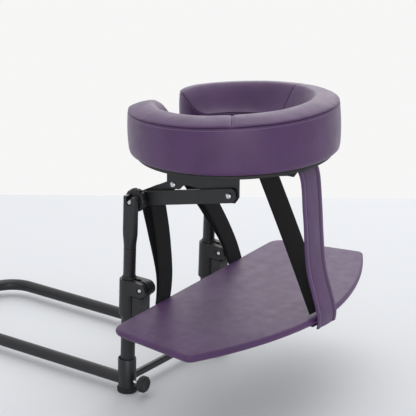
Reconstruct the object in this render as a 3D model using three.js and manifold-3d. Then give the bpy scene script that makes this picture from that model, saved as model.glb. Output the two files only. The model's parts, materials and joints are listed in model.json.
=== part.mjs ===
// Mattress-top massage kit: a U-shaped floor frame that slides under a mattress, two telescopic
// uprights, a tilting crescent face cushion and a padded arm shelf that hangs on straps.
// Millimetres, +Z up, origin on the floor midway between the two uprights. +Y runs towards the bed
// (the closed end of the U), -Y is the front, where the cushion and the shelf overhang.
import * as THREE from 'three';
import { mergeVertices } from 'three/addons/utils/BufferGeometryUtils.js';
import Module from 'manifold-3d';

const wasm = await Module();
wasm.setup();

// ---------------------------------------------------------------------------------- dimensions
const GAP = 0.3;                       // between pieces that touch
const SIDES = { left: -1, right: 1 };  // seen from the front, looking along +Y
const ROUND = 24;                      // segments round a tube
const SMALL = 14;                      // segments round a pin or a hole
const FINE = 28;                       // segments round a socket, a clamp or a knob

const UPRIGHT_SPACING = 206;           // axis to axis
const LEAN = THREE.MathUtils.degToRad(1.73);   // the posts lean forward by the play in their sockets
const LEAN_HEIGHT = 20;                // height of the point that they lean about

const FRAME_TUBE = { outer: 19.05, wall: 3 };
const FRAME_HEIGHT = 18.9;             // height of the floor frame's axis
const FRAME_LENGTH = 428;              // from the uprights to the axis of the end bar
const FRAME_BEND = 50;                 // centreline radius of its two bends

const CROSS_TUBE = { outer: 12, wall: 1.5, height: 20.7 };

// The posts telescope: each tube's size follows from the one inside it.
const UPPER_TUBE = { outer: 19.05, wall: 1.5, bottom: 95, top: 238 };
const SLIDING_FIT = 0.225;                                    // all round the upper tube
const LOWER_WALL = 1.35;
const LOWER_TUBE = {
  outer: UPPER_TUBE.outer + 2 * (SLIDING_FIT + LOWER_WALL), wall: LOWER_WALL, bottom: 4, top: 184,
};
const SOCKET_FIT = 1.55;                                      // loose, so that the posts drop in
const SOCKET_WALL = 1.5;
const SOCKET = {
  outer: LOWER_TUBE.outer + 2 * (SOCKET_FIT + SOCKET_WALL), wall: SOCKET_WALL, top: 56,
};
const FOOT = { floor: 3, wall: 1.3, height: 8 };
const REAR_FOOT = { length: 26, wall: 3.2, offset: 38 };

const KNOB = { outer: 26.5, length: 10, distance: SOCKET.outer / 2 + 12.85, height: 19 };
const SCREW = { outer: 6, hole: 7 };

const CLAMP = { wall: 3.5, bottom: 127, top: LOWER_TUBE.top + 4, chamfer: 2.2 };
const EAR = { radius: 11.4, inner: 4.5, outer: 13.4 };
const PIN = {
  outer: 6, hole: 6.6, forward: LOWER_TUBE.outer / 2 + 17.5, height: CLAMP.top - 10,
  counterbore: 9.4, sunk: 1.6,
};
const LEVER = {
  cam: 12.9, bottom: PIN.height - 49, top: PIN.height - 13.4, back: PIN.forward - 14,
  front: PIN.forward + 3.4, half: 11, wall: 2.6,
};
const COLLAR = { outer: UPPER_TUBE.outer + 2.75, height: 4 };

const AXLE = { outer: 8, height: 311 };                       // along the uprights' own axis
const AXLE_BORE = AXLE.outer + 2 * GAP;                       // whatever turns or rests on the axle
const FORK = {
  bottom: UPPER_TUBE.top + GAP, top: AXLE.height + 9.5, thick: 13, wide: 24.5, slot: AXLE_BORE,
  taper: 26,
};
const HUB = { outer: 36, length: 13, bore: AXLE_BORE, groove: 2.2 };
const SPACER = { outer: AXLE.outer + 6, wall: 2.4 };

const LONG_LINK = { thick: 3.5, wide: 22, frontY: -173.2, frontZ: 348.6, nose: 12 };
const SHORT_LINK = { thick: 3, wide: 20, end: 15, frontY: -69.7, frontZ: 344.2 };
const BRACKET = { thick: 2.5, back: -58, front: -188, flange: 15, rearLug: 338.5, frontLug: 337.5 };
const BOLT = { outer: 6, head: 9, headHeight: 2.6, hole: 6.6, nut: 10, nutHeight: 4.5 };

const PITCH = THREE.MathUtils.degToRad(2.4);   // the platform rises towards the front
const PLATE_CENTRE_Y = -125;
const PLATFORM = { underside: 386.5, thick: 5.5, outer: 147, inner: 84 };
const GRIP = { thick: 1.2, outer: 140, inner: 103 };          // hook-and-loop ring on the platform
const CUSHION = { outer: 158, inner: 84, height: 89, crown: 14, skin: 2.2, foam: 10, base: 2 };
const RIDGE_RADIUS = 124;                                     // inside it the top falls to the hole
const INNER_SHARE = 0.5;                                      // of the height, at the hole's edge
const FOAM_SLACK = 1.8;                                       // between the foam's top and the cover
const CRESCENT_STEPS = 30;                                    // round the cover and the foam
const MOUTH_ANGLE = THREE.MathUtils.degToRad(32);             // half the opening between the lobes
const LOBE_DROP = 0.25;                                       // share of the height lost at the lobes

const SHELF = {
  top: 167, board: 5, pad: 12.5, back: -60, corner: -206, front: -287,
  offset: -4, halfBack: 222, halfFront: 250, yaw: THREE.MathUtils.degToRad(3), backRadius: 22, frontRadius: 16,
};
const WEB = { thick: 1.8, wide: 34 };                         // the rear webbing straps
// squareX is where the yawed back edge of the shelf lies as far forward as the drawn strap.
const REAR_STRAP = { topX: 50, bottomX: { left: -97, right: 116 }, bottomZ: 152, squareX: 103 };
const FRONT_STRAP = { wide: 50, thick: 2.6, topY: -256, sag: 18, tail: 26, clear: 4.6, drop: 4 };
const STRAP_WRAP = { wide: 52, thick: 1.8, length: 30 };
const BACK_RUN = { wide: 46, thick: 1.6, topY: -173, bottomY: -280, clear: 2.2 };

// ---------------------------------------------------------------------------------- materials
const finish = (color, roughness, metalness = 0) =>
  new THREE.MeshStandardMaterial({ color, roughness, metalness });
const BLACK_STEEL = finish(0x1c1d1f, 0.42, 0.3);
const BLACK_PLASTIC = finish(0x202124, 0.55);
const RUBBER = finish(0x17181a, 0.8);
const ZINC = finish(0xd8dce0, 0.3, 0.9);
const VINYL = finish(0x5e3a6b, 0.5);
const WEBBING = finish(0x1e1f22, 0.9);
const BOARD = finish(0x232326, 0.7);
const FOAM = finish(0xd9d3c3, 0.95);

// ------------------------------------------------------------------------------- solid helpers
// Keeps only positions, merges shared corners, drops slivers and turns the faces outwards.
function clean(geometry) {
  const bare = geometry.clone();
  for (const name of Object.keys(bare.attributes)) {
    if (name !== 'position') bare.deleteAttribute(name);
  }
  const merged = mergeVertices(bare, 1e-3);
  const corners = merged.index.array;
  const kept = [];
  for (let i = 0; i < corners.length; i += 3) {
    const [a, b, c] = [corners[i], corners[i + 1], corners[i + 2]];
    if (a !== b && b !== c && a !== c) kept.push(a, b, c);
  }
  merged.setIndex(kept);
  if (volumeOf(merged) < 0) {
    for (let i = 0; i < kept.length; i += 3) [kept[i], kept[i + 1]] = [kept[i + 1], kept[i]];
    merged.setIndex(kept);
  }
  return merged;
}

function volumeOf(geometry) {
  const points = geometry.attributes.position;
  const corners = geometry.index.array;
  const [a, b, c] = [new THREE.Vector3(), new THREE.Vector3(), new THREE.Vector3()];
  let sum = 0;
  for (let i = 0; i < corners.length; i += 3) {
    a.fromBufferAttribute(points, corners[i]);
    b.fromBufferAttribute(points, corners[i + 1]);
    c.fromBufferAttribute(points, corners[i + 2]);
    sum += a.dot(b.cross(c)) / 6;
  }
  return sum;
}

function toManifold(geometry) {
  const merged = clean(geometry);
  return new wasm.Manifold(new wasm.Mesh({
    numProp: 3,
    vertProperties: new Float32Array(merged.attributes.position.array),
    triVerts: new Uint32Array(merged.index.array),
  }));
}

function fromManifold(manifold) {
  const mesh = manifold.getMesh();
  const geometry = new THREE.BufferGeometry();
  geometry.setAttribute('position', new THREE.BufferAttribute(mesh.vertProperties, 3));
  geometry.setIndex(new THREE.BufferAttribute(mesh.triVerts, 1));
  return geometry;
}

function join(first, ...others) {
  return fromManifold(others.reduce((body, one) => body.add(toManifold(one)), toManifold(first)));
}

function cut(first, ...tools) {
  return fromManifold(tools.reduce((body, one) => body.subtract(toManifold(one)), toManifold(first)));
}

// A turned solid about Z from a closed profile of [radius, z] corners.
function turned(profile, segments = ROUND) {
  const points = profile.map(([radius, z]) => new THREE.Vector2(radius, z));
  if (profile[0][0] > 0) points.push(points[0].clone());
  return clean(new THREE.LatheGeometry(points, segments).rotateX(Math.PI / 2));
}

function ring(outer, inner, bottom, top, segments = ROUND) {
  return turned([[outer, bottom], [outer, top], [inner, top], [inner, bottom]], segments);
}

function rod(radius, bottom, top, segments = ROUND) {
  return turned([[0, bottom], [radius, bottom], [radius, top], [0, top]], segments);
}

const alongX = (geometry) => geometry.rotateY(Math.PI / 2);
const alongY = (geometry) => geometry.rotateX(-Math.PI / 2);

function box(x0, x1, y0, y1, z0, z1) {
  const block = new THREE.BoxGeometry(x1 - x0, y1 - y0, z1 - z0);
  return block.translate((x0 + x1) / 2, (y0 + y1) / 2, (z0 + z1) / 2);
}

// A plate whose outline is drawn in the Y-Z plane, from x0 to x1.
function sidePlate(outline, x0, x1, curveSegments = 10) {
  const low = Math.min(x0, x1);
  const depth = Math.abs(x1 - x0);
  const plate = new THREE.ExtrudeGeometry(outline, { depth, bevelEnabled: false, curveSegments });
  const turn = new THREE.Matrix4().set(0, 0, 1, low, 1, 0, 0, 0, 0, 1, 0, 0, 0, 0, 0, 1);
  return clean(plate.applyMatrix4(turn));
}

// A sweep with its own choice of stations, each with a point and a direction.
class StationCurve extends THREE.Curve {
  constructor(stations) {
    super();
    this.stations = stations;
  }
  at(u) {
    return this.stations[Math.round(u * (this.stations.length - 1))];
  }
  getPointAt(u) {
    return this.at(u).point.clone();
  }
  getTangentAt(u) {
    return this.at(u).direction.clone();
  }
}

function sweepTube(stations, outer, inner, segments) {
  const section = new THREE.Shape();
  section.absarc(0, 0, outer, 0, 2 * Math.PI, false);
  const hole = new THREE.Path();
  hole.absarc(0, 0, inner, 0, 2 * Math.PI, true);
  section.holes.push(hole);
  return clean(new THREE.ExtrudeGeometry(section, {
    steps: stations.length - 1,
    extrudePath: new StationCurve(stations),
    curveSegments: segments,
  }));
}

// The outline of a strap of even thickness that follows a smooth line in the Y-Z plane.
function strapOutline(points, thick, steps = 4) {
  const line = new THREE.CatmullRomCurve3(points.map(([y, z]) => new THREE.Vector3(y, z, 0)));
  const count = (points.length - 1) * steps;
  const near = [];
  const far = [];
  for (let i = 0; i <= count; i += 1) {
    const centre = line.getPoint(i / count);
    const direction = line.getTangent(i / count);
    const side = new THREE.Vector2(-direction.y, direction.x).multiplyScalar(thick / 2);
    near.push(new THREE.Vector2(centre.x + side.x, centre.y + side.y));
    far.unshift(new THREE.Vector2(centre.x - side.x, centre.y - side.y));
  }
  return new THREE.Shape([...near, ...far]);
}

// --------------------------------------------------------------------------------- assembling
const model = new THREE.Group();

const posts = new THREE.Group();       // everything that leans forward in the sockets
posts.position.z = LEAN_HEIGHT;
posts.rotation.x = LEAN;
const postFrame = new THREE.Group();
postFrame.position.z = -LEAN_HEIGHT;
posts.add(postFrame);
model.add(posts);

function put(parent, name, geometry, material) {
  const mesh = new THREE.Mesh(geometry, material);
  mesh.name = name;
  parent.add(mesh);
  return mesh;
}

function forEachSide(build) {
  for (const [name, sign] of Object.entries(SIDES)) build(name, sign, sign * UPRIGHT_SPACING / 2);
}

// The axle's place in the outer frame: on the posts' leaning axis.
const axleY = -(AXLE.height - LEAN_HEIGHT) * Math.sin(LEAN);
const axleZ = LEAN_HEIGHT + (AXLE.height - LEAN_HEIGHT) * Math.cos(LEAN);

// --------------------------------------------------------------------------------- floor frame
function floorFrameStations() {
  const half = UPRIGHT_SPACING / 2;
  const bendY = FRAME_LENGTH - FRAME_BEND;
  const station = (x, y, dx, dy) => ({
    point: new THREE.Vector3(x, y, FRAME_HEIGHT),
    direction: new THREE.Vector3(dx, dy, 0),
  });
  const stations = [station(-half, SOCKET.outer / 4, 0, 1)];
  const bendSteps = 7;
  for (let i = 0; i <= bendSteps; i += 1) {
    const a = (i / bendSteps) * Math.PI / 2;
    const x = -half + FRAME_BEND * (1 - Math.cos(a));
    stations.push(station(x, bendY + FRAME_BEND * Math.sin(a), Math.sin(a), Math.cos(a)));
  }
  for (let i = bendSteps; i >= 0; i -= 1) {
    const a = (i / bendSteps) * Math.PI / 2;
    const x = half - FRAME_BEND * (1 - Math.cos(a));
    stations.push(station(x, bendY + FRAME_BEND * Math.sin(a), Math.sin(a), -Math.cos(a)));
  }
  stations.push(station(half, SOCKET.outer / 4, 0, -1));
  return stations;
}

const socketKeepOut = (x) => rod(SOCKET.outer / 2 + GAP, 0, SOCKET.top).translate(x, 0, 0);

function floorFrame() {
  const outer = FRAME_TUBE.outer / 2;
  const tube = sweepTube(floorFrameStations(), outer, outer - FRAME_TUBE.wall, ROUND / 4);
  const half = UPRIGHT_SPACING / 2;
  return cut(tube, socketKeepOut(-half), socketKeepOut(half));
}

function crossTube() {
  const half = UPRIGHT_SPACING / 2;
  const outer = CROSS_TUBE.outer / 2;
  const tube = alongX(ring(outer, outer - CROSS_TUBE.wall, -half, half, SMALL));
  return cut(tube.translate(0, 0, CROSS_TUBE.height), socketKeepOut(-half), socketKeepOut(half));
}

function socket(x) {
  const outer = SOCKET.outer / 2;
  const wall = ring(outer, outer - SOCKET.wall, FOOT.floor + GAP, SOCKET.top, FINE);
  const hole = alongY(rod(SCREW.hole / 2, -2 * outer, 0, SMALL)).translate(0, 0, KNOB.height);
  return cut(wall, hole).translate(x, 0, 0);
}

function footCap(x) {
  const inner = SOCKET.outer / 2 + GAP;
  const outer = inner + FOOT.wall;
  return turned([
    [0, 0], [outer - 0.6, 0], [outer, 0.8], [outer, FOOT.height - 0.9], [outer - 0.7, FOOT.height],
    [inner, FOOT.height], [inner, FOOT.floor], [0, FOOT.floor],
  ], FINE).translate(x, 0, 0);
}

// A rubber saddle that the end bar of the frame sits in.
function rearFoot(x) {
  const bar = FRAME_TUBE.outer / 2 + GAP;
  const half = REAR_FOOT.length / 2;
  const outer = bar + REAR_FOOT.wall;
  const block = box(-half, half, -outer, outer, 0, FRAME_HEIGHT + 2);
  const groove = alongX(rod(bar, -2 * half, 2 * half)).translate(0, 0, FRAME_HEIGHT);
  const mouth = box(-2 * half, 2 * half, -bar, bar, FRAME_HEIGHT, 2 * FRAME_HEIGHT);
  return cut(block, groove, mouth).translate(x, FRAME_LENGTH, 0);
}

// A round hand knob with flutes, its axis along Y, and the screw that it turns.
function baseKnob(x) {
  const radius = KNOB.outer / 2;
  const profile = [
    [0, 0], [radius - 1.6, 0], [radius, 1.6], [radius, KNOB.length - 3],
    [radius - 3, KNOB.length], [radius - 6, KNOB.length + 0.8], [0, KNOB.length + 0.8],
  ];
  const body = turned(profile, FINE);
  const flutes = [];
  const count = 12;
  for (let i = 0; i < count; i += 1) {
    const a = (i / count) * 2 * Math.PI;
    const flute = rod(1.7, -1, KNOB.length + 2, 8);
    flutes.push(flute.translate((radius + 0.7) * Math.cos(a), (radius + 0.7) * Math.sin(a), 0));
  }
  const neck = rod(5.2, -5.5, 0.5, SMALL);
  const screwHole = rod(SCREW.outer / 2 + GAP, -7, KNOB.length * 0.6, SMALL);
  const knob = cut(join(body, neck), ...flutes, screwHole);
  return knob.rotateX(Math.PI / 2).translate(x, -KNOB.distance, KNOB.height);
}

function baseScrew(x) {
  const start = -(LOWER_TUBE.outer / 2 + 0.9);
  const end = -(KNOB.distance + KNOB.length * 0.6 - GAP);
  const screw = rod(SCREW.outer / 2, 0, start - end, SMALL);
  return screw.rotateX(Math.PI / 2).translate(x, start, KNOB.height);
}

put(model, 'floor_frame', floorFrame(), BLACK_STEEL);
put(model, 'cross_tube', crossTube(), BLACK_STEEL);
forEachSide((name, sign, x) => {
  put(model, `socket_${name}`, socket(x), BLACK_STEEL);
  put(model, `foot_cap_${name}`, footCap(x), RUBBER);
  put(model, `rear_foot_${name}`, rearFoot(sign * REAR_FOOT.offset), RUBBER);
  put(model, `base_knob_${name}`, baseKnob(x), BLACK_PLASTIC);
  put(model, `base_screw_${name}`, baseScrew(x), ZINC);
});

// ------------------------------------------------------------------------------------ uprights
function straightTube({ outer, wall, bottom, top }, x) {
  return ring(outer / 2, outer / 2 - wall, bottom, top).translate(x, 0, 0);
}

const clampBore = LOWER_TUBE.outer / 2 + GAP;
const clampOuter = clampBore + CLAMP.wall;

// One flat ear of the clamp, drawn round its pin: [y, z] with y negative towards the front.
function earOutline() {
  const shape = new THREE.Shape();
  const low = PIN.height - EAR.radius;
  const high = PIN.height + EAR.radius;
  shape.moveTo(-4, low);
  shape.lineTo(-4, high - 0.6);
  shape.lineTo(-PIN.forward, high);
  shape.absarc(-PIN.forward, PIN.height, EAR.radius, Math.PI / 2, 1.5 * Math.PI, false);
  shape.closePath();
  return shape;
}

function clampBody(x) {
  const sleeve = turned([
    [clampOuter - CLAMP.chamfer, CLAMP.bottom], [clampOuter, CLAMP.bottom + CLAMP.chamfer * 1.4],
    [clampOuter, CLAMP.top - 0.8], [clampOuter - 0.8, CLAMP.top], [clampBore, CLAMP.top],
    [clampBore, CLAMP.bottom],
  ], FINE);
  const ears = [
    sidePlate(earOutline(), -EAR.outer, -EAR.inner),
    sidePlate(earOutline(), EAR.inner, EAR.outer),
  ];
  const bore = rod(clampBore, CLAMP.bottom - 1, CLAMP.top + 10, FINE);
  const slot = box(-1.6, 1.6, -60, 0, PIN.height - 26, CLAMP.top + 10);
  const camRoom = alongX(rod(LEVER.cam + 0.7, -EAR.inner, EAR.inner)).translate(
    0, -PIN.forward, PIN.height);
  const pinHole = alongX(rod(PIN.hole / 2, -30, 30, SMALL)).translate(0, -PIN.forward, PIN.height);
  const recesses = [-1, 1].map((sign) => {
    const start = sign * (EAR.outer - PIN.sunk);
    const recess = alongX(rod(PIN.counterbore / 2, Math.min(start, start + sign * 9),
      Math.max(start, start + sign * 9), SMALL));
    return recess.translate(0, -PIN.forward, PIN.height);
  });
  const body = cut(join(sleeve, ...ears), bore, slot, camRoom, pinHole, ...recesses);
  return body.translate(x, 0, 0);
}

function clampPin(x) {
  const half = EAR.outer - PIN.sunk + 0.9;
  const radius = PIN.outer / 2;
  const pin = turned([
    [0, -half], [radius - 0.7, -half], [radius, 0.7 - half],
    [radius, half - 0.7], [radius - 0.7, half], [0, half],
  ], SMALL);
  return alongX(pin).translate(x, -PIN.forward, PIN.height);
}

// The cam between the ears and the channel-shaped handle that hangs below them.
function clampLever(x) {
  const camHalf = EAR.inner - 0.6;
  const cam = alongX(rod(LEVER.cam, -camHalf, camHalf, 32)).translate(0, -PIN.forward, PIN.height);
  const web = box(-camHalf, camHalf, -LEVER.front, -LEVER.front + 8, LEVER.top - 4, PIN.height);
  const shell = box(-LEVER.half, LEVER.half, -LEVER.front, -LEVER.back, LEVER.bottom, LEVER.top);
  const tip = box(-30, 30, -6, 6, -14, 0).rotateX(-0.5).translate(0, -LEVER.front, LEVER.bottom + 6);
  const hollow = box(
    LEVER.wall - LEVER.half, LEVER.half - LEVER.wall, LEVER.wall - LEVER.front, 0,
    LEVER.bottom - 5, LEVER.top + 5);
  const handle = cut(shell, hollow, tip);
  const body = join(handle, cam, web);
  const keepOff = rod(clampOuter + 0.5, 0, PIN.height + 40, FINE);
  const pinHole = alongX(rod(PIN.hole / 2, -30, 30, SMALL)).translate(0, -PIN.forward, PIN.height);
  return cut(body, keepOff, pinHole).translate(x, 0, 0);
}

function collar(x) {
  const inner = UPPER_TUBE.outer / 2 + GAP;
  const bottom = CLAMP.top + GAP;
  const outer = COLLAR.outer / 2;
  return turned([
    [outer, bottom], [outer, bottom + COLLAR.height - 1], [outer - 0.7, bottom + COLLAR.height],
    [inner, bottom + COLLAR.height], [inner, bottom],
  ]).translate(x, 0, 0);
}

// The top of the post: a tube end pressed flat, with a slot that the axle drops into.
function fork(x) {
  const radius = UPPER_TUBE.outer / 2;
  const profile = [[0, FORK.bottom]];
  const steps = 5;
  for (let i = 0; i <= steps; i += 1) {
    profile.push([radius, FORK.bottom + (i / steps) * FORK.taper]);
  }
  profile.push([radius, FORK.top], [0, FORK.top]);
  const blank = turned(profile, 32);
  const points = blank.attributes.position;
  for (let i = 0; i < points.count; i += 1) {
    const along = (points.getZ(i) - FORK.bottom) / FORK.taper;
    const flat = THREE.MathUtils.smoothstep(along, 0, 1);
    const squeezed = THREE.MathUtils.clamp(points.getX(i), -FORK.thick / 2, FORK.thick / 2);
    const widened = points.getY(i) * FORK.wide / UPPER_TUBE.outer;
    points.setX(i, THREE.MathUtils.lerp(points.getX(i), squeezed, flat));
    points.setY(i, THREE.MathUtils.lerp(points.getY(i), widened, flat));
  }
  const round = alongX(rod(FORK.slot / 2, -20, 20)).translate(0, 0, AXLE.height);
  const slot = box(-20, 20, -FORK.slot / 2, FORK.slot / 2, AXLE.height, FORK.top + 10);
  const shoulders = [-1, 1].map((sign) => {
    const corner = box(-20, 20, -6, 6, -6, 6).rotateX(Math.PI / 4);
    return corner.translate(0, sign * (FORK.wide / 2 + 3), FORK.top + 3);
  });
  return cut(blank, round, slot, ...shoulders).translate(x, 0, 0);
}

forEachSide((name, sign, x) => {
  put(postFrame, `lower_tube_${name}`, straightTube(LOWER_TUBE, x), BLACK_STEEL);
  put(postFrame, `clamp_body_${name}`, clampBody(x), BLACK_PLASTIC);
  put(postFrame, `clamp_pin_${name}`, clampPin(x), ZINC);
  put(postFrame, `clamp_lever_${name}`, clampLever(x), BLACK_PLASTIC);
  put(postFrame, `collar_${name}`, collar(x), BLACK_PLASTIC);
  put(postFrame, `upper_tube_${name}`, straightTube(UPPER_TUBE, x), BLACK_STEEL);
  put(postFrame, `fork_${name}`, fork(x), BLACK_STEEL);
});

// ---------------------------------------------------------------------------- axle and linkage
// Distances from the middle plane of the linkage layers, from the fork inwards.
const forkInner = UPRIGHT_SPACING / 2 - FORK.thick / 2;
const hubOuter = forkInner - GAP;
const hubInner = hubOuter - HUB.length;
const longOuter = hubInner - GAP;
const longInner = longOuter - LONG_LINK.thick;
const bracketOuter = longInner - GAP;
const bracketInner = bracketOuter - BRACKET.thick;
const shortOuter = bracketInner - GAP;
const shortInner = shortOuter - SHORT_LINK.thick;

function axle() {
  const half = UPRIGHT_SPACING / 2 + FORK.thick / 2 - 1.5;
  const radius = AXLE.outer / 2;
  const bar = turned([
    [0, -half], [radius - 0.8, -half], [radius, 0.8 - half],
    [radius, half - 0.8], [radius - 0.8, half], [0, half],
  ], 24);
  return alongX(bar).translate(0, axleY, axleZ);
}

function spacer() {
  const half = shortInner - GAP;
  const outer = SPACER.outer / 2;
  return alongX(ring(outer, outer - SPACER.wall, -half, half, 24)).translate(0, axleY, axleZ);
}

// A hand wheel on the axle's thread: it pulls the links tight and holds the tilt.
function tiltHub(sign) {
  const radius = HUB.outer / 2;
  const bore = HUB.bore / 2;
  const profile = [
    [bore, 0], [radius - 3.5, 0], [radius - 1, 1.2], [radius, 3.6], [radius, HUB.length - 3.6],
    [radius - 1, HUB.length - 1.2], [radius - 3.5, HUB.length], [bore, HUB.length],
  ];
  const wheel = turned(profile, FINE);
  const grooves = [];
  const count = 10;
  for (let i = 0; i < count; i += 1) {
    const a = ((i + 0.5) / count) * 2 * Math.PI;
    const groove = rod(HUB.groove, -1, HUB.length + 1, 8);
    grooves.push(groove.translate((radius + 1) * Math.cos(a), (radius + 1) * Math.sin(a), 0));
  }
  const placed = alongX(cut(wheel, ...grooves));
  return placed.translate(sign > 0 ? hubInner : -hubOuter, axleY, axleZ);
}

// A flat bar from the axle (round end) to a bolt, in the Y-Z plane.
function linkOutline(boltY, boltZ, hubHalf, endHalf, nose) {
  const shape = new THREE.Shape();
  const dy = boltY - axleY;
  const dz = boltZ - axleZ;
  const length = Math.hypot(dy, dz);
  shape.absarc(0, 0, hubHalf, Math.PI / 2, 1.5 * Math.PI, false);
  shape.lineTo(length + nose - endHalf * 0.6, -endHalf);
  shape.lineTo(length + nose, -endHalf * 0.4);
  shape.lineTo(length + nose, endHalf - nose * 0.6);
  shape.quadraticCurveTo(length + nose, endHalf, length + nose * 0.4, endHalf);
  shape.closePath();
  for (const centre of [0, length]) {
    const hole = new THREE.Path();
    const size = centre === 0 ? HUB.bore : BOLT.hole;
    hole.absarc(centre, 0, size / 2, 0, 2 * Math.PI, true);
    shape.holes.push(hole);
  }
  return { shape, angle: Math.atan2(dz, -dy) };
}

// The bar is drawn along its own axis, then mirrored to run forward and raised to its angle.
function linkPlate(outline, x0, x1) {
  const plate = sidePlate(outline.shape, x0, x1, 9).scale(1, -1, 1);
  return clean(plate.rotateX(-outline.angle).translate(0, axleY, axleZ));
}

const platformUnderside = (y) =>
  PLATFORM.underside + (PLATE_CENTRE_Y - y) * Math.tan(PITCH);

// The side plate of the cradle: it hangs from the platform and carries both bolts.
function bracketOutline() {
  const top = (y) => platformUnderside(y) - GAP;
  const shape = new THREE.Shape();
  const rear = SHORT_LINK.frontY;
  const arch = SHORT_LINK.frontZ + 4;
  shape.moveTo(BRACKET.back, top(BRACKET.back));
  shape.lineTo(BRACKET.front, top(BRACKET.front));
  shape.lineTo(BRACKET.front, BRACKET.frontLug + 10);
  shape.lineTo(BRACKET.front + 7, BRACKET.frontLug);
  shape.lineTo(LONG_LINK.frontY + 12, BRACKET.frontLug);
  shape.quadraticCurveTo(LONG_LINK.frontY + 22, BRACKET.frontLug, LONG_LINK.frontY + 28, arch - 4);
  shape.quadraticCurveTo(LONG_LINK.frontY + 34, arch, rear - 28, arch);
  shape.quadraticCurveTo(rear - 18, arch, rear - 13, BRACKET.rearLug + 2);
  shape.quadraticCurveTo(rear - 11, BRACKET.rearLug, rear - 8, BRACKET.rearLug);
  shape.lineTo(BRACKET.back - 3, BRACKET.rearLug);
  shape.lineTo(BRACKET.back, BRACKET.rearLug + 3);
  shape.closePath();
  const bolts = [
    [SHORT_LINK.frontY, SHORT_LINK.frontZ, BOLT.hole / 2],
    [LONG_LINK.frontY, LONG_LINK.frontZ, BOLT.hole / 2],
    [BRACKET.back - 9, 361, 2.4],
  ];
  for (const [y, z, radius] of bolts) {
    const hole = new THREE.Path();
    hole.absarc(y, z, radius, 0, 2 * Math.PI, true);
    shape.holes.push(hole);
  }
  return shape;
}

function flangeOutline(thick) {
  const top = (y) => platformUnderside(y) - GAP;
  return new THREE.Shape([
    new THREE.Vector2(BRACKET.back, top(BRACKET.back)),
    new THREE.Vector2(BRACKET.front, top(BRACKET.front)),
    new THREE.Vector2(BRACKET.front, top(BRACKET.front) - thick),
    new THREE.Vector2(BRACKET.back, top(BRACKET.back) - thick),
  ]);
}

function bracket(sign) {
  const plate = sidePlate(bracketOutline(), sign * bracketOuter, sign * bracketInner);
  const flange = sidePlate(
    flangeOutline(BRACKET.thick), sign * bracketOuter, sign * (bracketOuter - BRACKET.flange));
  return join(plate, flange);
}

// A bolt with a domed head outside and a nut inside, its axis along X.
function crossBolt(sign, y, z, outside, inside) {
  const radius = BOLT.outer / 2;
  const head = BOLT.head / 2;
  const length = outside - inside;
  const shank = turned([
    [0, -BOLT.nutHeight - 1.5], [radius, -BOLT.nutHeight - 1.5], [radius, length + 0.4],
    [head, length + GAP], [head, length + GAP + BOLT.headHeight * 0.5],
    [head * 0.7, length + GAP + BOLT.headHeight * 0.9], [0, length + GAP + BOLT.headHeight],
  ], SMALL);
  const nut = turned([
    [0, -BOLT.nutHeight - GAP], [BOLT.nut / 2, -BOLT.nutHeight - GAP], [BOLT.nut / 2, -GAP], [0, -GAP],
  ], 6);
  const bolt = alongX(join(shank, nut)).translate(inside, y, z);
  return sign > 0 ? bolt : clean(bolt.scale(-1, 1, 1));
}

put(model, 'tilt_axle', axle(), ZINC);
put(model, 'axle_spacer', spacer(), BLACK_STEEL);
forEachSide((name, sign) => {
  put(model, `tilt_hub_${name}`, tiltHub(sign), BLACK_PLASTIC);
  const long = linkOutline(
    LONG_LINK.frontY, LONG_LINK.frontZ, LONG_LINK.wide / 2, LONG_LINK.wide / 2, LONG_LINK.nose);
  put(model, `long_link_${name}`, linkPlate(long, sign * longOuter, sign * longInner), BLACK_STEEL);
  const short = linkOutline(
    SHORT_LINK.frontY, SHORT_LINK.frontZ, SHORT_LINK.wide / 2, SHORT_LINK.end / 2, SHORT_LINK.end / 2);
  put(model, `short_link_${name}`, linkPlate(short, sign * shortOuter, sign * shortInner), BLACK_STEEL);
  put(model, `bracket_${name}`, bracket(sign), BLACK_STEEL);
  put(model, `front_bolt_${name}`,
    crossBolt(sign, LONG_LINK.frontY, LONG_LINK.frontZ, longOuter, bracketInner), ZINC);
  put(model, `rear_bolt_${name}`,
    crossBolt(sign, SHORT_LINK.frontY, SHORT_LINK.frontZ, bracketOuter, shortInner), ZINC);
});

// ------------------------------------------------------------------------ platform and cushion
const head = new THREE.Group();        // everything pitched with the platform
head.position.set(0, PLATE_CENTRE_Y, PLATFORM.underside);
head.rotation.x = -PITCH;
model.add(head);

function arcPoints(centreX, centreY, radius, from, to, steps) {
  const points = [];
  for (let i = 0; i < steps; i += 1) {
    const a = THREE.MathUtils.lerp(from, to, i / steps);
    points.push(new THREE.Vector2(centreX + radius * Math.cos(a), centreY + radius * Math.sin(a)));
  }
  return points;
}

// A crescent round the origin: an open ring with round lobes either side of a mouth at +Y.
function crescent(outer, inner, steps) {
  const middle = (outer + inner) / 2;
  const lobe = (outer - inner) / 2;
  const start = Math.PI / 2 + MOUTH_ANGLE;
  const end = Math.PI / 2 - MOUTH_ANGLE + 2 * Math.PI;
  const lobeEnd = (angle, from) =>
    arcPoints(middle * Math.cos(angle), middle * Math.sin(angle), lobe, from, from + Math.PI, 7);
  return new THREE.Shape([
    ...arcPoints(0, 0, outer, start, end, steps),
    ...lobeEnd(end, end),
    ...arcPoints(0, 0, inner, end, start, Math.round(steps * 0.7)),
    ...lobeEnd(start, start + Math.PI),
  ]);
}

function crescentPlate(outer, inner, bottom, thick, steps) {
  const plate = new THREE.ExtrudeGeometry(
    crescent(outer, inner, steps), { depth: thick, bevelEnabled: false });
  return clean(plate).translate(0, 0, bottom);
}

const platformTop = PLATFORM.thick;
const gripTop = platformTop + GAP + GRIP.thick;
const cushionBottom = gripTop + GAP;
const cushionTop = cushionBottom + CUSHION.height;

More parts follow.
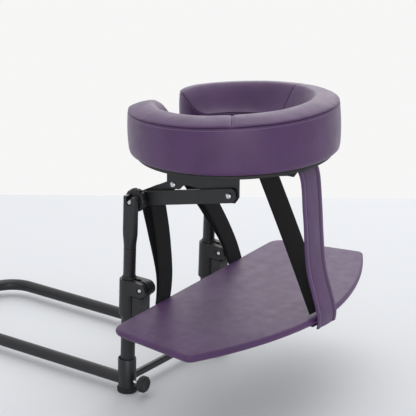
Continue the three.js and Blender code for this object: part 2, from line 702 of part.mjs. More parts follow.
// The share of the full height that the top keeps: it falls towards the hole and the lobes.
function topShare(x, y) {
  const slope = THREE.MathUtils.smoothstep(Math.hypot(x, y), CUSHION.inner, RIDGE_RADIUS);
  const lobe = (y + CUSHION.outer) / (2 * CUSHION.outer);
  return THREE.MathUtils.lerp(INNER_SHARE, 1, slope) * (1 - LOBE_DROP * lobe);
}

// A crescent block with rolled edges and a top that slopes down to the hole.
function cushionBlock(outer, inner, bottom, height, crown, steps) {
  const block = new THREE.ExtrudeGeometry(crescent(outer - crown, inner + crown, steps), {
    depth: height - crown, bevelEnabled: true, bevelThickness: crown, bevelSize: crown,
    bevelSegments: 2,
  });
  const merged = clean(block);
  const points = merged.attributes.position;
  for (let i = 0; i < points.count; i += 1) {
    const rise = Math.max(points.getZ(i), 0);
    const z = bottom + rise;
    const level = rise > 0 ? Math.max(z - cushionBottom, 0) : 0;
    points.setZ(i, z - level * (1 - topShare(points.getX(i), points.getY(i))));
  }
  return clean(merged);
}

// A crowned crescent that is hollow underneath, as deep as its wall allows.
function hollowCushion(inset, wall, bottom, top, steps) {
  const below = 25;
  const outside = cushionBlock(
    CUSHION.outer - inset, CUSHION.inner + inset, bottom, top - bottom, CUSHION.crown, steps);
  const deep = inset + wall;
  const inside = cushionBlock(
    CUSHION.outer - deep, CUSHION.inner + deep, bottom - below, top - wall - bottom + below,
    CUSHION.crown, steps);
  return cut(outside, inside);
}

const baseInset = CUSHION.skin + GAP;

put(head, 'platform',
  crescentPlate(PLATFORM.outer, PLATFORM.inner, 0, PLATFORM.thick, 36), BOARD);
put(head, 'grip_ring',
  crescentPlate(GRIP.outer, GRIP.inner, platformTop + GAP, GRIP.thick, 24), WEBBING);
put(head, 'cushion_base', crescentPlate(
  CUSHION.outer - baseInset, CUSHION.inner + baseInset, cushionBottom, CUSHION.base,
  CRESCENT_STEPS), WEBBING);
put(head, 'cushion_foam', hollowCushion(
  CUSHION.skin + GAP, CUSHION.foam, cushionBottom + CUSHION.base + GAP,
  cushionTop - CUSHION.skin - FOAM_SLACK, CRESCENT_STEPS), FOAM);
put(head, 'cushion_cover',
  hollowCushion(0, CUSHION.skin, cushionBottom, cushionTop, CRESCENT_STEPS), VINYL);

// --------------------------------------------------------------------------------------- shelf
// Seen from above: a straight back, sides that open out, and a bowed front, round at the corners.
function shelfOutline(inset) {
  const back = SHELF.back - inset;
  const halfBack = SHELF.halfBack - inset;
  const halfFront = SHELF.halfFront - inset;
  const corner = SHELF.corner;
  const front = SHELF.front + inset;
  const side = new THREE.Vector2(halfFront - halfBack, corner - back).normalize();
  const bow = new THREE.Vector2(halfFront * 0.62, front + (corner - front) * 0.28);
  const arc = bow.clone().sub(new THREE.Vector2(halfFront, corner)).normalize();
  const rb = SHELF.backRadius;
  const rf = SHELF.frontRadius;
  const shape = new THREE.Shape();
  shape.moveTo(-halfBack + rb, back);
  shape.lineTo(halfBack - rb, back);
  shape.quadraticCurveTo(halfBack, back, halfBack + side.x * rb, back + side.y * rb);
  shape.lineTo(halfFront - side.x * rf, corner - side.y * rf);
  shape.quadraticCurveTo(halfFront, corner, halfFront + arc.x * rf, corner + arc.y * rf);
  shape.bezierCurveTo(bow.x, bow.y, halfFront * 0.25, front, 0, front);
  shape.bezierCurveTo(-halfFront * 0.25, front, -bow.x, bow.y,
    -halfFront - arc.x * rf, corner + arc.y * rf);
  shape.quadraticCurveTo(-halfFront, corner, -halfFront + side.x * rf, corner - side.y * rf);
  shape.lineTo(-halfBack - side.x * rb, back + side.y * rb);
  shape.quadraticCurveTo(-halfBack, back, -halfBack + rb, back);
  return shape;
}

function shelfPlate(inset, bottom, top) {
  const plate = new THREE.ExtrudeGeometry(
    shelfOutline(inset), { depth: top - bottom, bevelEnabled: false, curveSegments: 8 });
  return clean(plate).translate(0, 0, bottom);
}

const shelf = new THREE.Group();
shelf.rotation.z = SHELF.yaw;
shelf.position.x = SHELF.offset;
model.add(shelf);

const padBottom = SHELF.top - SHELF.pad;
const boardInset = 3.4;

// The padded cover is wrapped over the board and open below, where it is stapled on.
function shelfPad() {
  const block = shelfPlate(0, padBottom, SHELF.top);
  const hollow = shelfPlate(boardInset - GAP, padBottom - 5, padBottom + SHELF.board + GAP);
  return cut(block, hollow);
}

put(shelf, 'shelf_board', shelfPlate(boardInset, padBottom + 0.4, padBottom + SHELF.board), BOARD);
put(shelf, 'shelf_pad', shelfPad(), VINYL);

// -------------------------------------------------------------------------------------- straps
// A doubled webbing strap: over the spacer at the top, both ends sewn to the shelf's back edge.
function rearStrap(name, sign) {
  const wrap = SPACER.outer / 2 + 2 * GAP + WEB.thick / 2;
  const low = REAR_STRAP.bottomZ;
  const slant = wrap * Math.SQRT1_2;
  const outline = strapOutline([
    [-53.4, low], [-53, 175], [-50.2, 205], [-37, 262],
    [axleY - wrap, axleZ], [axleY - slant, axleZ + slant], [axleY, axleZ + wrap],
    [axleY + slant, axleZ + slant], [axleY + wrap, axleZ],
    [-22, 262], [-44.5, 205], [-49.4, 175], [-51, low],
  ], WEB.thick, 3);
  const band = sidePlate(outline, -WEB.wide / 2, WEB.wide / 2);
  const points = band.attributes.position;
  const top = sign * REAR_STRAP.topX;
  for (let i = 0; i < points.count; i += 1) {
    const down = THREE.MathUtils.clamp((axleZ - points.getZ(i)) / (axleZ - low), 0, 1);
    const x = points.getX(i) + THREE.MathUtils.lerp(top, REAR_STRAP.bottomX[name], down);
    const sideways = Math.tan(SHELF.yaw) * (x - REAR_STRAP.squareX);
    points.setX(i, x);
    points.setY(i, points.getY(i) + sideways * THREE.MathUtils.smoothstep(down, 0.1, 0.9));
  }
  return clean(band);
}

const padFront = SHELF.front / Math.cos(SHELF.yaw);

// The broad vinyl strap: from under the platform's front edge down past the front of the shelf.
function frontStrap() {
  const { topY, sag, tail, clear, drop, thick } = FRONT_STRAP;
  const seat = (y) => platformUnderside(y) - GAP - thick / 2;
  const bottomY = padFront - clear;
  const bendEnd = seat(topY) - 13;
  const span = bendEnd - SHELF.top;
  const outline = strapOutline([
    [topY + tail, seat(topY + tail)], [topY + tail / 2, seat(topY + tail / 2) - 0.1],
    [topY + 5, seat(topY) - 1.2], [topY - 2, bendEnd],
    [topY - sag / 2, SHELF.top + span * 0.74], [topY - sag, SHELF.top + span * 0.33],
    [bottomY, SHELF.top], [bottomY + 1, padBottom - drop],
  ], thick);
  return sidePlate(outline, -FRONT_STRAP.wide / 2, FRONT_STRAP.wide / 2);
}

// Its end, sewn flat to the underside of the shelf behind the front edge.
function strapWrap() {
  const front = padFront + 2;
  const top = padBottom - GAP;
  const flat = box(-STRAP_WRAP.wide / 2, STRAP_WRAP.wide / 2, front, front + STRAP_WRAP.length,
    top - STRAP_WRAP.thick, top);
  return clean(flat);
}

// The webbing run behind it: from further back under the platform to the shelf's front edge.
function backRun() {
  const topZ = platformUnderside(BACK_RUN.topY) - 2 * GAP;
  const { topY, bottomY } = BACK_RUN;
  const bottomZ = SHELF.top + BACK_RUN.clear;
  const along = (share, bow) => [
    THREE.MathUtils.lerp(topY, bottomY, share) - bow, THREE.MathUtils.lerp(topZ, bottomZ, share),
  ];
  const outline = strapOutline([
    along(0, 0), along(0.25, 1), along(0.5, 1.5), along(0.75, 1), along(1, 0),
  ], BACK_RUN.thick);
  return sidePlate(outline, -BACK_RUN.wide / 2, BACK_RUN.wide / 2);
}

forEachSide((name, sign) => put(model, `rear_strap_${name}`, rearStrap(name, sign), WEBBING));
put(model, 'front_strap', frontStrap(), VINYL);
put(model, 'strap_wrap', strapWrap(), VINYL);
put(model, 'front_strap_lining', backRun(), WEBBING);

export default model;
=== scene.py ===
# %% [markdown]
# # A massage kit for a bed: face cushion, arm shelf, posts and floor frame
# The real thing is a U of black steel tube that slides under a mattress. Two telescopic posts
# stand in it, carry a tilting platform with a crescent face cushion, and a padded arm shelf hangs
# below on straps. The CAD frame is loaded first. Pieces repeat its sizes in millimetres and ride on
# its bodies.

# %% Load the frame
import json
import math
import bmesh
import bpy
from mathutils import Matrix, Vector, noise

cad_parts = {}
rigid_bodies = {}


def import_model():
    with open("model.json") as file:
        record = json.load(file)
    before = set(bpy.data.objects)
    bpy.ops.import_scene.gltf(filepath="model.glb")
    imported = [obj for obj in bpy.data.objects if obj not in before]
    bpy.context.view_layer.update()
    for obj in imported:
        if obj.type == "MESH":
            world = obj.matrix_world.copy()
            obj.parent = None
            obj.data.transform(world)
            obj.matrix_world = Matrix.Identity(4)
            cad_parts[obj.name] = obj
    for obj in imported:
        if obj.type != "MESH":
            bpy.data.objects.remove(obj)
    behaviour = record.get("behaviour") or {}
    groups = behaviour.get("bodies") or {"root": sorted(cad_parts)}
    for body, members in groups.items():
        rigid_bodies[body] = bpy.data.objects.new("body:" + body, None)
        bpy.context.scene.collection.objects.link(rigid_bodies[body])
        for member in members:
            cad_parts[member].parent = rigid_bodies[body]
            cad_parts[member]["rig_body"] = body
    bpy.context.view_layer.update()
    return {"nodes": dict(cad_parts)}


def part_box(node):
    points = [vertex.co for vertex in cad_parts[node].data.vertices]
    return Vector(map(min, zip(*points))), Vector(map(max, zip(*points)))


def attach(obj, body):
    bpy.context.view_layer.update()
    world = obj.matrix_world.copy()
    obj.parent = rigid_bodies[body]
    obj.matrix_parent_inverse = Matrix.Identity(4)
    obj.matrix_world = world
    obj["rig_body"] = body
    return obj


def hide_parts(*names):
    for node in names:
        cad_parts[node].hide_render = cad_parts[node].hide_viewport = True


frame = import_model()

MM = 0.001

# %% [markdown]
# ## Camera, floor and light
# The set is a product studio: a long lens from the front left and above, a pale surface, a near
# white wall, and big soft lights. A long lens keeps the parallel tubes nearly parallel.

# %% The camera
CAMERA_PLACE = Vector((-2.19606, -1.64878, 1.21782))
CAMERA_RIGHT = Vector((0.58460672, -0.81126229, 0.00940628))
CAMERA_UP = Vector((0.25907674, 0.19765599, 0.94541597))
CAMERA_LENS = 162.29

camera_data = bpy.data.cameras.new("camera")
camera_data.lens = CAMERA_LENS
camera_data.sensor_width = 36.0
camera_data.clip_end = 30.0
camera = bpy.data.objects.new("camera", camera_data)
bpy.context.scene.collection.objects.link(camera)
camera_back = CAMERA_RIGHT.cross(CAMERA_UP)
turn = Matrix((CAMERA_RIGHT, CAMERA_UP, camera_back)).transposed()
camera.matrix_world = Matrix.Translation(CAMERA_PLACE) @ turn.to_4x4()
bpy.context.scene.camera = camera
bpy.context.scene.view_settings.view_transform = "Standard"
print("camera looks along", [round(-c, 3) for c in camera_back])

# %% The floor, the wall and the lights
FLOOR_COLOUR = (0.70, 0.715, 0.745, 1.0)
WALL_COLOUR = (0.925, 0.925, 0.92, 1.0)
ROOM_COLOUR = (0.56, 0.56, 0.575, 1.0)
WALL_DISTANCE = 0.86
FLOOR_HALF_WIDTH = 6
FLOOR_LENGTH = 9
LIGHT_TARGET = Vector((0, -0.1, 0.25))
LOOK = Vector((-camera_back.x, -camera_back.y, 0.0)).normalized()
SIDE = Vector((LOOK.y, -LOOK.x, 0.0))


def stage_sheet(name, corners, colour):
    bm = bmesh.new()
    bm.faces.new([bm.verts.new(corner) for corner in corners])
    mesh = bpy.data.meshes.new(name)
    bm.to_mesh(mesh)
    bm.free()
    sheet = bpy.data.objects.new(name, mesh)
    bpy.context.scene.collection.objects.link(sheet)
    paint = bpy.data.materials.new(name)
    paint.use_nodes = True
    shader = paint.node_tree.nodes["Principled BSDF"]
    shader.inputs["Base Color"].default_value = colour
    shader.inputs["Roughness"].default_value = 0.75
    shader.inputs["Specular IOR Level"].default_value = 0.2
    mesh.materials.append(paint)


edge = LOOK * WALL_DISTANCE
aside = SIDE * FLOOR_HALF_WIDTH
near = LOOK * FLOOR_LENGTH
stage_sheet("floor", [
    edge - aside, edge - aside - near, edge + aside - near, edge + aside,
], FLOOR_COLOUR)


def soft_light(name, place, size, power, colour=(1.0, 1.0, 1.0)):
    data = bpy.data.lights.new(name, "AREA")
    data.shape = "DISK"
    data.size = size
    data.energy = power
    data.color = colour
    lamp = bpy.data.objects.new(name, data)
    bpy.context.scene.collection.objects.link(lamp)
    lamp.location = place
    lamp.rotation_euler = (LIGHT_TARGET - Vector(place)).to_track_quat("-Z", "Y").to_euler()


soft_light("key", (0.9, 0.1, 2.6), 2.8, 21)
soft_light("side", (1.9, 0.9, 1.3), 1.6, 8)
soft_light("front", (-2.3, -2.0, 0.6), 2.0, 22)

world = bpy.data.worlds.new("studio")
world.use_nodes = True
bpy.context.scene.world = world


def light_the_room(tree):
    """White behind the object and above it, greyer behind the camera, where the room is darker."""
    direction = tree.nodes.new("ShaderNodeTexCoord")
    facing = tree.nodes.new("ShaderNodeVectorMath")
    facing.operation = "DOT_PRODUCT"
    facing.inputs[1].default_value = (LOOK.x, LOOK.y, 0.45)
    tree.links.new(direction.outputs["Generated"], facing.inputs[0])
    fade = tree.nodes.new("ShaderNodeMapRange")
    fade.interpolation_type = "SMOOTHSTEP"
    fade.inputs["From Min"].default_value = -0.7
    fade.inputs["From Max"].default_value = 0.5
    tree.links.new(facing.outputs["Value"], fade.inputs["Value"])
    blend = tree.nodes.new("ShaderNodeMix")
    blend.data_type = "RGBA"
    blend.inputs["A"].default_value = ROOM_COLOUR
    blend.inputs["B"].default_value = WALL_COLOUR
    tree.links.new(fade.outputs["Result"], blend.inputs["Factor"])
    tree.links.new(blend.outputs["Result"], tree.nodes["Background"].inputs["Color"])


light_the_room(world.node_tree)
print("stage made")

# %% [markdown]
# ## Materials
# Each finish is a small node tree. Patterns are in metres on Object coordinates, so a grain of
# one millimetre is the same size on every piece. Woven straps use their own UV map instead, with
# metres along and across the strap, because a weave follows the webbing and not the room.

# %% A helper that starts a material
def start_material(name, colour, roughness, metallic=0.0, specular=0.5):
    material = bpy.data.materials.new(name)
    material.use_nodes = True
    nodes = material.node_tree.nodes
    links = material.node_tree.links
    shader = nodes["Principled BSDF"]
    shader.inputs["Base Color"].default_value = (*colour, 1.0)
    shader.inputs["Roughness"].default_value = roughness
    shader.inputs["Metallic"].default_value = metallic
    shader.inputs["Specular IOR Level"].default_value = specular
    place = nodes.new("ShaderNodeTexCoord")
    return material, nodes, links, shader, place


def noise_node(nodes, links, source, scale, detail=3.0):
    texture = nodes.new("ShaderNodeTexNoise")
    texture.inputs["Scale"].default_value = scale
    texture.inputs["Detail"].default_value = detail
    links.new(source, texture.inputs["Vector"])
    return texture.outputs["Fac"]


def spread(nodes, links, value, low, high):
    """Maps the middle half of a 0 to 1 pattern onto low..high."""
    ramp = nodes.new("ShaderNodeMapRange")
    ramp.inputs["From Min"].default_value = 0.25
    ramp.inputs["From Max"].default_value = 0.75
    ramp.inputs["To Min"].default_value = low
    ramp.inputs["To Max"].default_value = high
    links.new(value, ramp.inputs["Value"])
    return ramp.outputs["Result"]


def vary_colour(nodes, links, shader, pattern, dark, light):
    mix = nodes.new("ShaderNodeMix")
    mix.data_type = "RGBA"
    mix.inputs["A"].default_value = (*dark, 1.0)
    mix.inputs["B"].default_value = (*light, 1.0)
    links.new(spread(nodes, links, pattern, 0.0, 1.0), mix.inputs["Factor"])
    links.new(mix.outputs["Result"], shader.inputs["Base Color"])


def add_bump(nodes, links, height, strength, distance, below=None):
    bump = nodes.new("ShaderNodeBump")
    bump.inputs["Strength"].default_value = strength
    bump.inputs["Distance"].default_value = distance
    links.new(height, bump.inputs["Height"])
    if below is not None:
        links.new(below, bump.inputs["Normal"])
    return bump.outputs["Normal"]


print("material helpers ready")

# %% [markdown]
# ### Purple vinyl
# Upholstery vinyl is a soft plastic skin printed with a fine pebble grain. The grain is a cell
# pattern about a millimetre across, and a slow wave under it stands for the give of the foam.

# %% Vinyl
VINYL_DARK = (0.055, 0.015, 0.080)
VINYL_LIGHT = (0.078, 0.023, 0.110)


def make_vinyl(name, wave_scale, wave_height):
    material, nodes, links, shader, place = start_material(name, VINYL_LIGHT, 0.5)
    source = place.outputs["Object"]
    slow = noise_node(nodes, links, source, 22.0)
    vary_colour(nodes, links, shader, slow, VINYL_DARK, VINYL_LIGHT)
    links.new(spread(nodes, links, noise_node(nodes, links, source, 60.0), 0.44, 0.56),
              shader.inputs["Roughness"])
    cells = nodes.new("ShaderNodeTexVoronoi")
    cells.feature = "SMOOTH_F1"
    cells.inputs["Scale"].default_value = 1100.0
    links.new(source, cells.inputs["Vector"])
    wave = noise_node(nodes, links, source, wave_scale, 1.5)
    folds = add_bump(nodes, links, wave, 0.35, wave_height)
    grain = add_bump(nodes, links, cells.outputs["Distance"], 0.12, 0.0003, folds)
    links.new(grain, shader.inputs["Normal"])
    shader.inputs["Coat Weight"].default_value = 0.16
    shader.inputs["Coat Roughness"].default_value = 0.35
    shader.inputs["Sheen Weight"].default_value = 0.1
    shader.inputs["Sheen Roughness"].default_value = 0.5
    return material


VINYL = make_vinyl("purple_vinyl", 26.0, 0.0035)
VINYL_FLAT = make_vinyl("purple_vinyl_over_board", 16.0, 0.0009)
VINYL_FLAT.node_tree.nodes["Principled BSDF"].inputs["Coat Weight"].default_value = 0.04
VINYL_FLAT.node_tree.nodes["Principled BSDF"].inputs["Sheen Weight"].default_value = 0.03
print("vinyl made")

# %% [markdown]
# ### Black steel, plastic, rubber and board
# The tubes are powder coated: satin, with a fine orange peel. Moulded plastic is a little
# rougher and greyer, with a spark-eroded grain. Rubber hardly shines at all.

# %% Black finishes
def make_black(name, dark, light, roughness, grain_scale, grain_height):
    material, nodes, links, shader, place = start_material(name, light, roughness[1])
    source = place.outputs["Object"]
    patches = noise_node(nodes, links, source, 35.0, 5.0)
    vary_colour(nodes, links, shader, patches, dark, light)
    links.new(spread(nodes, links, noise_node(nodes, links, source, 90.0, 4.0), *roughness),
              shader.inputs["Roughness"])
    peel = noise_node(nodes, links, source, grain_scale, 2.0)
    links.new(add_bump(nodes, links, peel, 0.3, grain_height), shader.inputs["Normal"])
    return material


COATED_STEEL = make_black(
    "black_powder_coat", (0.009, 0.0093, 0.011), (0.014, 0.0145, 0.017), (0.3, 0.42), 900.0, 0.0002)
MOULDED = make_black(
    "black_moulded_plastic", (0.008, 0.008, 0.009), (0.013, 0.013, 0.015), (0.42, 0.56), 1600.0,
    0.0002)
RUBBER = make_black(
    "black_rubber", (0.010, 0.010, 0.011), (0.016, 0.016, 0.017), (0.72, 0.86), 700.0, 0.0003)
PAINTED_BOARD = make_black(
    "black_painted_board", (0.011, 0.011, 0.012), (0.018, 0.018, 0.019), (0.5, 0.66), 240.0, 0.0004)
print("black finishes made")

# %% Bright zinc
def make_zinc():
    material, nodes, links, shader, place = start_material("bright_zinc", (0.66, 0.68, 0.72), 0.28, 1.0)
    source = place.outputs["Object"]
    patches = noise_node(nodes, links, source, 260.0, 4.0)
    vary_colour(nodes, links, shader, patches, (0.56, 0.58, 0.61), (0.74, 0.76, 0.8))
    links.new(spread(nodes, links, noise_node(nodes, links, source, 420.0), 0.2, 0.4),
              shader.inputs["Roughness"])
    turned_marks = noise_node(nodes, links, source, 2200.0)
    links.new(add_bump(nodes, links, turned_marks, 0.25, 0.00012), shader.inputs["Normal"])
    return material


ZINC = make_zinc()
print("zinc made")

# %% [markdown]
# ### Webbing
# Nylon webbing is a narrow weave: ribs across the strap, broken into a herringbone of small
# bumps. Two sine waves on the strap's UV map, in metres, multiply into that pattern.

# %% Webbing and hook-and-loop
def make_webbing(name, dark, light, rib, cord):
    material, nodes, links, shader, place = start_material(name, light, 0.85)
    split = nodes.new("ShaderNodeSeparateXYZ")
    links.new(place.outputs["UV"], split.inputs["Vector"])

    def wave(value, length, shift=None):
        scaled = nodes.new("ShaderNodeMath")
        scaled.operation = "MULTIPLY"
        scaled.inputs[1].default_value = 2 * math.pi / length
        links.new(value, scaled.inputs[0])
        source = scaled.outputs["Value"]
        if shift is not None:
            moved = nodes.new("ShaderNodeMath")
            moved.operation = "ADD"
            links.new(source, moved.inputs[0])
            links.new(shift, moved.inputs[1])
            source = moved.outputs["Value"]
        sine = nodes.new("ShaderNodeMath")
        sine.operation = "SINE"
        links.new(source, sine.inputs[0])
        return sine.outputs["Value"]

    across = wave(split.outputs["Y"], cord)
    along = wave(split.outputs["X"], rib, across)
    weave = nodes.new("ShaderNodeMath")
    weave.operation = "MULTIPLY_ADD"
    weave.inputs[2].default_value = 0.5
    halved = nodes.new("ShaderNodeMath")
    halved.operation = "MULTIPLY"
    halved.inputs[1].default_value = 0.5
    links.new(along, halved.inputs[0])
    links.new(halved.outputs["Value"], weave.inputs[0])
    links.new(across, weave.inputs[1])
    vary_colour(nodes, links, shader, weave.outputs["Value"], dark, light)
    links.new(add_bump(nodes, links, weave.outputs["Value"], 0.6, 0.0004), shader.inputs["Normal"])
    shader.inputs["Specular IOR Level"].default_value = 0.3
    shader.inputs["Sheen Weight"].default_value = 0.05
    shader.inputs["Sheen Roughness"].default_value = 0.4
    return material


WEBBING = make_webbing(
    "black_webbing", (0.003, 0.003, 0.004), (0.011, 0.011, 0.013), 1.6 * MM, 2.4 * MM)
LOOP_TAPE = make_black(
    "loop_tape", (0.006, 0.006, 0.007), (0.014, 0.014, 0.016), (0.85, 0.95), 1800.0, 0.0008)


def make_thread(name, dark, light):
    material, nodes, links, shader, place = start_material(name, light, 0.65)
    source = place.outputs["Object"]
    vary_colour(nodes, links, shader, noise_node(nodes, links, source, 900.0), dark, light)
    links.new(add_bump(nodes, links, noise_node(nodes, links, source, 3000.0), 0.4, 0.0001),
              shader.inputs["Normal"])
    return material


THREAD_LIGHT = make_thread("light_thread", (0.21, 0.15, 0.25), (0.3, 0.22, 0.34))
# Near-black: on the cushion's seams this colour is painted shade in the seam valleys; on the front
# strap it is dark stitching.
SEAM_SHADE_AND_DARK_THREAD = make_thread("dark_thread_and_seam_shade", (0.012, 0.007, 0.016), (0.024, 0.013, 0.03))
print("webbing, loop tape and thread made")

# %% [markdown]
# ## Helpers for pieces
# A piece is a mesh that rides on a CAD body. Most of this object is turned or swept, so three
# helpers do most of the work: one finishes a mesh, one spins a profile, one runs a round bar
# along straight lines and bends.

# %% Finish a mesh and put it on its body
SIDES = {"left": -1, "right": 1}


def finish_piece(bm, name, body, material, cad_nodes, sharp=40.0):
    bmesh.ops.remove_doubles(bm, verts=bm.verts, dist=0.01 * MM)
    bmesh.ops.recalc_face_normals(bm, faces=bm.faces)
    mesh = bpy.data.meshes.new(name)
    bm.to_mesh(mesh)
    bm.free()
    mesh.materials.append(material)
    for polygon in mesh.polygons:
        polygon.use_smooth = True
    mesh.set_sharp_from_angle(angle=math.radians(sharp))
    piece = bpy.data.objects.new(name, mesh)
    bpy.context.scene.collection.objects.link(piece)
    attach(piece, body)
    if cad_nodes:
        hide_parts(*cad_nodes)
    return piece


def spin_profile(bm, profile, steps=48):
    """Spins (radius, z) corners, in mm, a full turn about Z."""
    start = [bm.verts.new((radius * MM, 0.0, z * MM)) for radius, z in profile]
    edges = [bm.edges.new(pair) for pair in zip(start, start[1:])]
    bmesh.ops.spin(
        bm, geom=start + edges, cent=(0, 0, 0), axis=(0, 0, 1), angle=2 * math.pi, steps=steps,
        use_merge=True)
    return bm


def placed(bm, *moves):
    """Applies the moves in order to the whole mesh."""
    for move in moves:
        bmesh.ops.transform(bm, matrix=move, verts=bm.verts)
    return bm


def shift(x=0.0, y=0.0, z=0.0):
    return Matrix.Translation(Vector((x, y, z)) * MM)


ALONG_X = Matrix.Rotation(math.pi / 2, 4, "Y")
ALONG_MINUS_Y = Matrix.Rotation(math.pi / 2, 4, "X")
LEAN = math.radians(1.73)
LEAN_PIVOT = 20
AXLE_HEIGHT = 311
HALF_SPACING = 103.0
LEAN_POST = shift(z=LEAN_PIVOT) @ Matrix.Rotation(LEAN, 4, "X") @ shift(z=-LEAN_PIVOT)
AXLE = LEAN_POST @ (Vector((0, 0, AXLE_HEIGHT)) * MM)
print("posts lean", round(math.degrees(LEAN), 2), "degrees; axle at", [round(c, 4) for c in AXLE])

# %% [markdown]
# Where a CAD node already has the right shape, such as a drilled plate or a cut fork, a copy is
# cleaned and given small rounded edges. Real plates and mouldings always have them, and they are
# what catches the light.

# %% Round the edges of a CAD node's copy
def eased_copy(node, material, radius, segments=2, angle=32.0):
    source = frame["nodes"][node]
    bm = bmesh.new()
    bm.from_mesh(source.data)
    bmesh.ops.remove_doubles(bm, verts=bm.verts, dist=0.02 * MM)
    bmesh.ops.dissolve_limit(
        bm, angle_limit=math.radians(0.6), verts=bm.verts, edges=bm.edges)
    piece = finish_piece(bm, node + "_finished", source["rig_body"], material, [node], angle)
    bevel = piece.modifiers.new("eased_edges", "BEVEL")
    bevel.width = radius * MM
    bevel.segments = segments
    bevel.limit_method = "ANGLE"
    bevel.angle_limit = math.radians(angle)
    bevel.use_clamp_overlap = True
    bevel.harden_normals = False
    return piece


print("helpers ready")

# %% [markdown]
# ## The floor frame
# One tube bent into a U. In the workshop it is a straight length with two bends pressed round a
# former, so it is made the same way here: a circle, extruded straight, spun through each bend.

# %% Bend the tube
FRAME_RADIUS = 19.05 / 2
FRAME_HEIGHT = 18.9
FRAME_START = 8
FRAME_END = 428.0
FRAME_BEND = 50.0


def bent_frame():
    bm = bmesh.new()
    bend_y = (FRAME_END - FRAME_BEND) * MM
    start_y = FRAME_START * MM
    start = Matrix.Translation((-HALF_SPACING * MM, start_y, FRAME_HEIGHT * MM)) @ ALONG_MINUS_Y
    ring = bmesh.ops.create_circle(
        bm, cap_ends=False, radius=FRAME_RADIUS * MM, segments=40, matrix=start)
    edges = list({edge for vert in ring["verts"] for edge in vert.link_edges})

    def straight(edges, move):
        made = bmesh.ops.extrude_edge_only(bm, edges=edges)["geom"]
        verts = [g for g in made if isinstance(g, bmesh.types.BMVert)]
        bmesh.ops.translate(bm, vec=move, verts=verts)
        return [g for g in made if isinstance(g, bmesh.types.BMEdge)]

    def bend(edges, centre_x):
        made = bmesh.ops.spin(
            bm, geom=edges, cent=(centre_x, bend_y, FRAME_HEIGHT * MM), axis=(0, 0, -1),
            angle=math.pi / 2, steps=14)["geom_last"]
        return [g for g in made if isinstance(g, bmesh.types.BMEdge)]

    inner = (HALF_SPACING - FRAME_BEND) * MM
    edges = straight(edges, (0, bend_y - start_y, 0))
    edges = bend(edges, -inner)
    edges = straight(edges, (2 * inner, 0, 0))
    edges = bend(edges, inner)
    straight(edges, (0, start_y - bend_y, 0))
    bmesh.ops.holes_fill(bm, edges=bm.edges, sides=0)
    return bm


finish_piece(bent_frame(), "bent_floor_frame", "base", COATED_STEEL, ["floor_frame"])
print("floor frame bent from one tube")

# %% The cross tube, sockets and rubber feet
def round_bar(radius, low, high, ease=0.4):
    return spin_profile(bmesh.new(), [
        (0, low), (radius - ease, low), (radius, low + ease),
        (radius, high - ease), (radius - ease, high), (0, high),
    ])


CROSS_RADIUS = 6.0
CROSS_HALF = 89.5
CROSS_HEIGHT = 20.7
cross = placed(round_bar(CROSS_RADIUS, -CROSS_HALF, CROSS_HALF), ALONG_X, shift(z=CROSS_HEIGHT))
finish_piece(cross, "cross_bar", "base", COATED_STEEL, ["cross_tube"])

SOCKET_RADIUS = 14.15
SOCKET_BORE = 12.65
SOCKET_TOP = 56.0
for side, sign in SIDES.items():
    x = sign * HALF_SPACING
    socket = spin_profile(bmesh.new(), [
        (SOCKET_BORE, 3.4), (SOCKET_RADIUS - 0.4, 3.4), (SOCKET_RADIUS, 3.8),
        (SOCKET_RADIUS, SOCKET_TOP - 0.8), (SOCKET_RADIUS - 0.3, SOCKET_TOP - 0.2),
        (SOCKET_RADIUS - 0.7, SOCKET_TOP), (12.9, SOCKET_TOP - 0.1),
        (SOCKET_BORE, SOCKET_TOP - 0.5), (SOCKET_BORE, 3.4),
    ], 56)
    finish_piece(placed(socket, shift(x)), "post_socket_" + side, "base", COATED_STEEL,
                 ["socket_" + side])
    cap = spin_profile(bmesh.new(), [
        (0, 0), (14.4, 0), (15.3, 0.4), (15.72, 1.2), (15.72, 2.2), (15.2, 2.9), (15.2, 3.6),
        (15.7, 4.2), (15.7, 6.8), (15.5, 7.6), (15.0, 8.0), (14.45, 7.9), (14.45, 3.1), (0, 3.0),
    ], 56)
    finish_piece(placed(cap, shift(x)), "rubber_cap_" + side, "base", RUBBER,
                 ["foot_cap_" + side])
    eased_copy("rear_foot_" + side, RUBBER, 1.0, 3)
print("sockets and feet made")

# %% [markdown]
# ## Knobs
# The base knob is a fluted disc on a screw through the socket wall. It starts as a turned blank,
# and the flutes are pressed in by moving its rim corners towards the axis on a cosine.

# %% Base knobs and their screws
KNOB_FORWARD = -27
KNOB_HEIGHT = 19
SCREW_FORWARD = -12


def flute(bm, count, depth, outer, reach=2.2):
    """Presses count flutes into the rim, fading out over reach mm below the rim."""
    for vert in bm.verts:
        radius = math.hypot(vert.co.x, vert.co.y) / MM
        share = max(0.0, 1.0 - (outer - radius) / reach)
        if share > 0:
            angle = math.atan2(vert.co.y, vert.co.x)
            dip = max(0.0, math.cos(count * angle)) ** 2
            factor = 1.0 - depth * share * dip / radius
            vert.co.x *= factor
            vert.co.y *= factor
    return bm


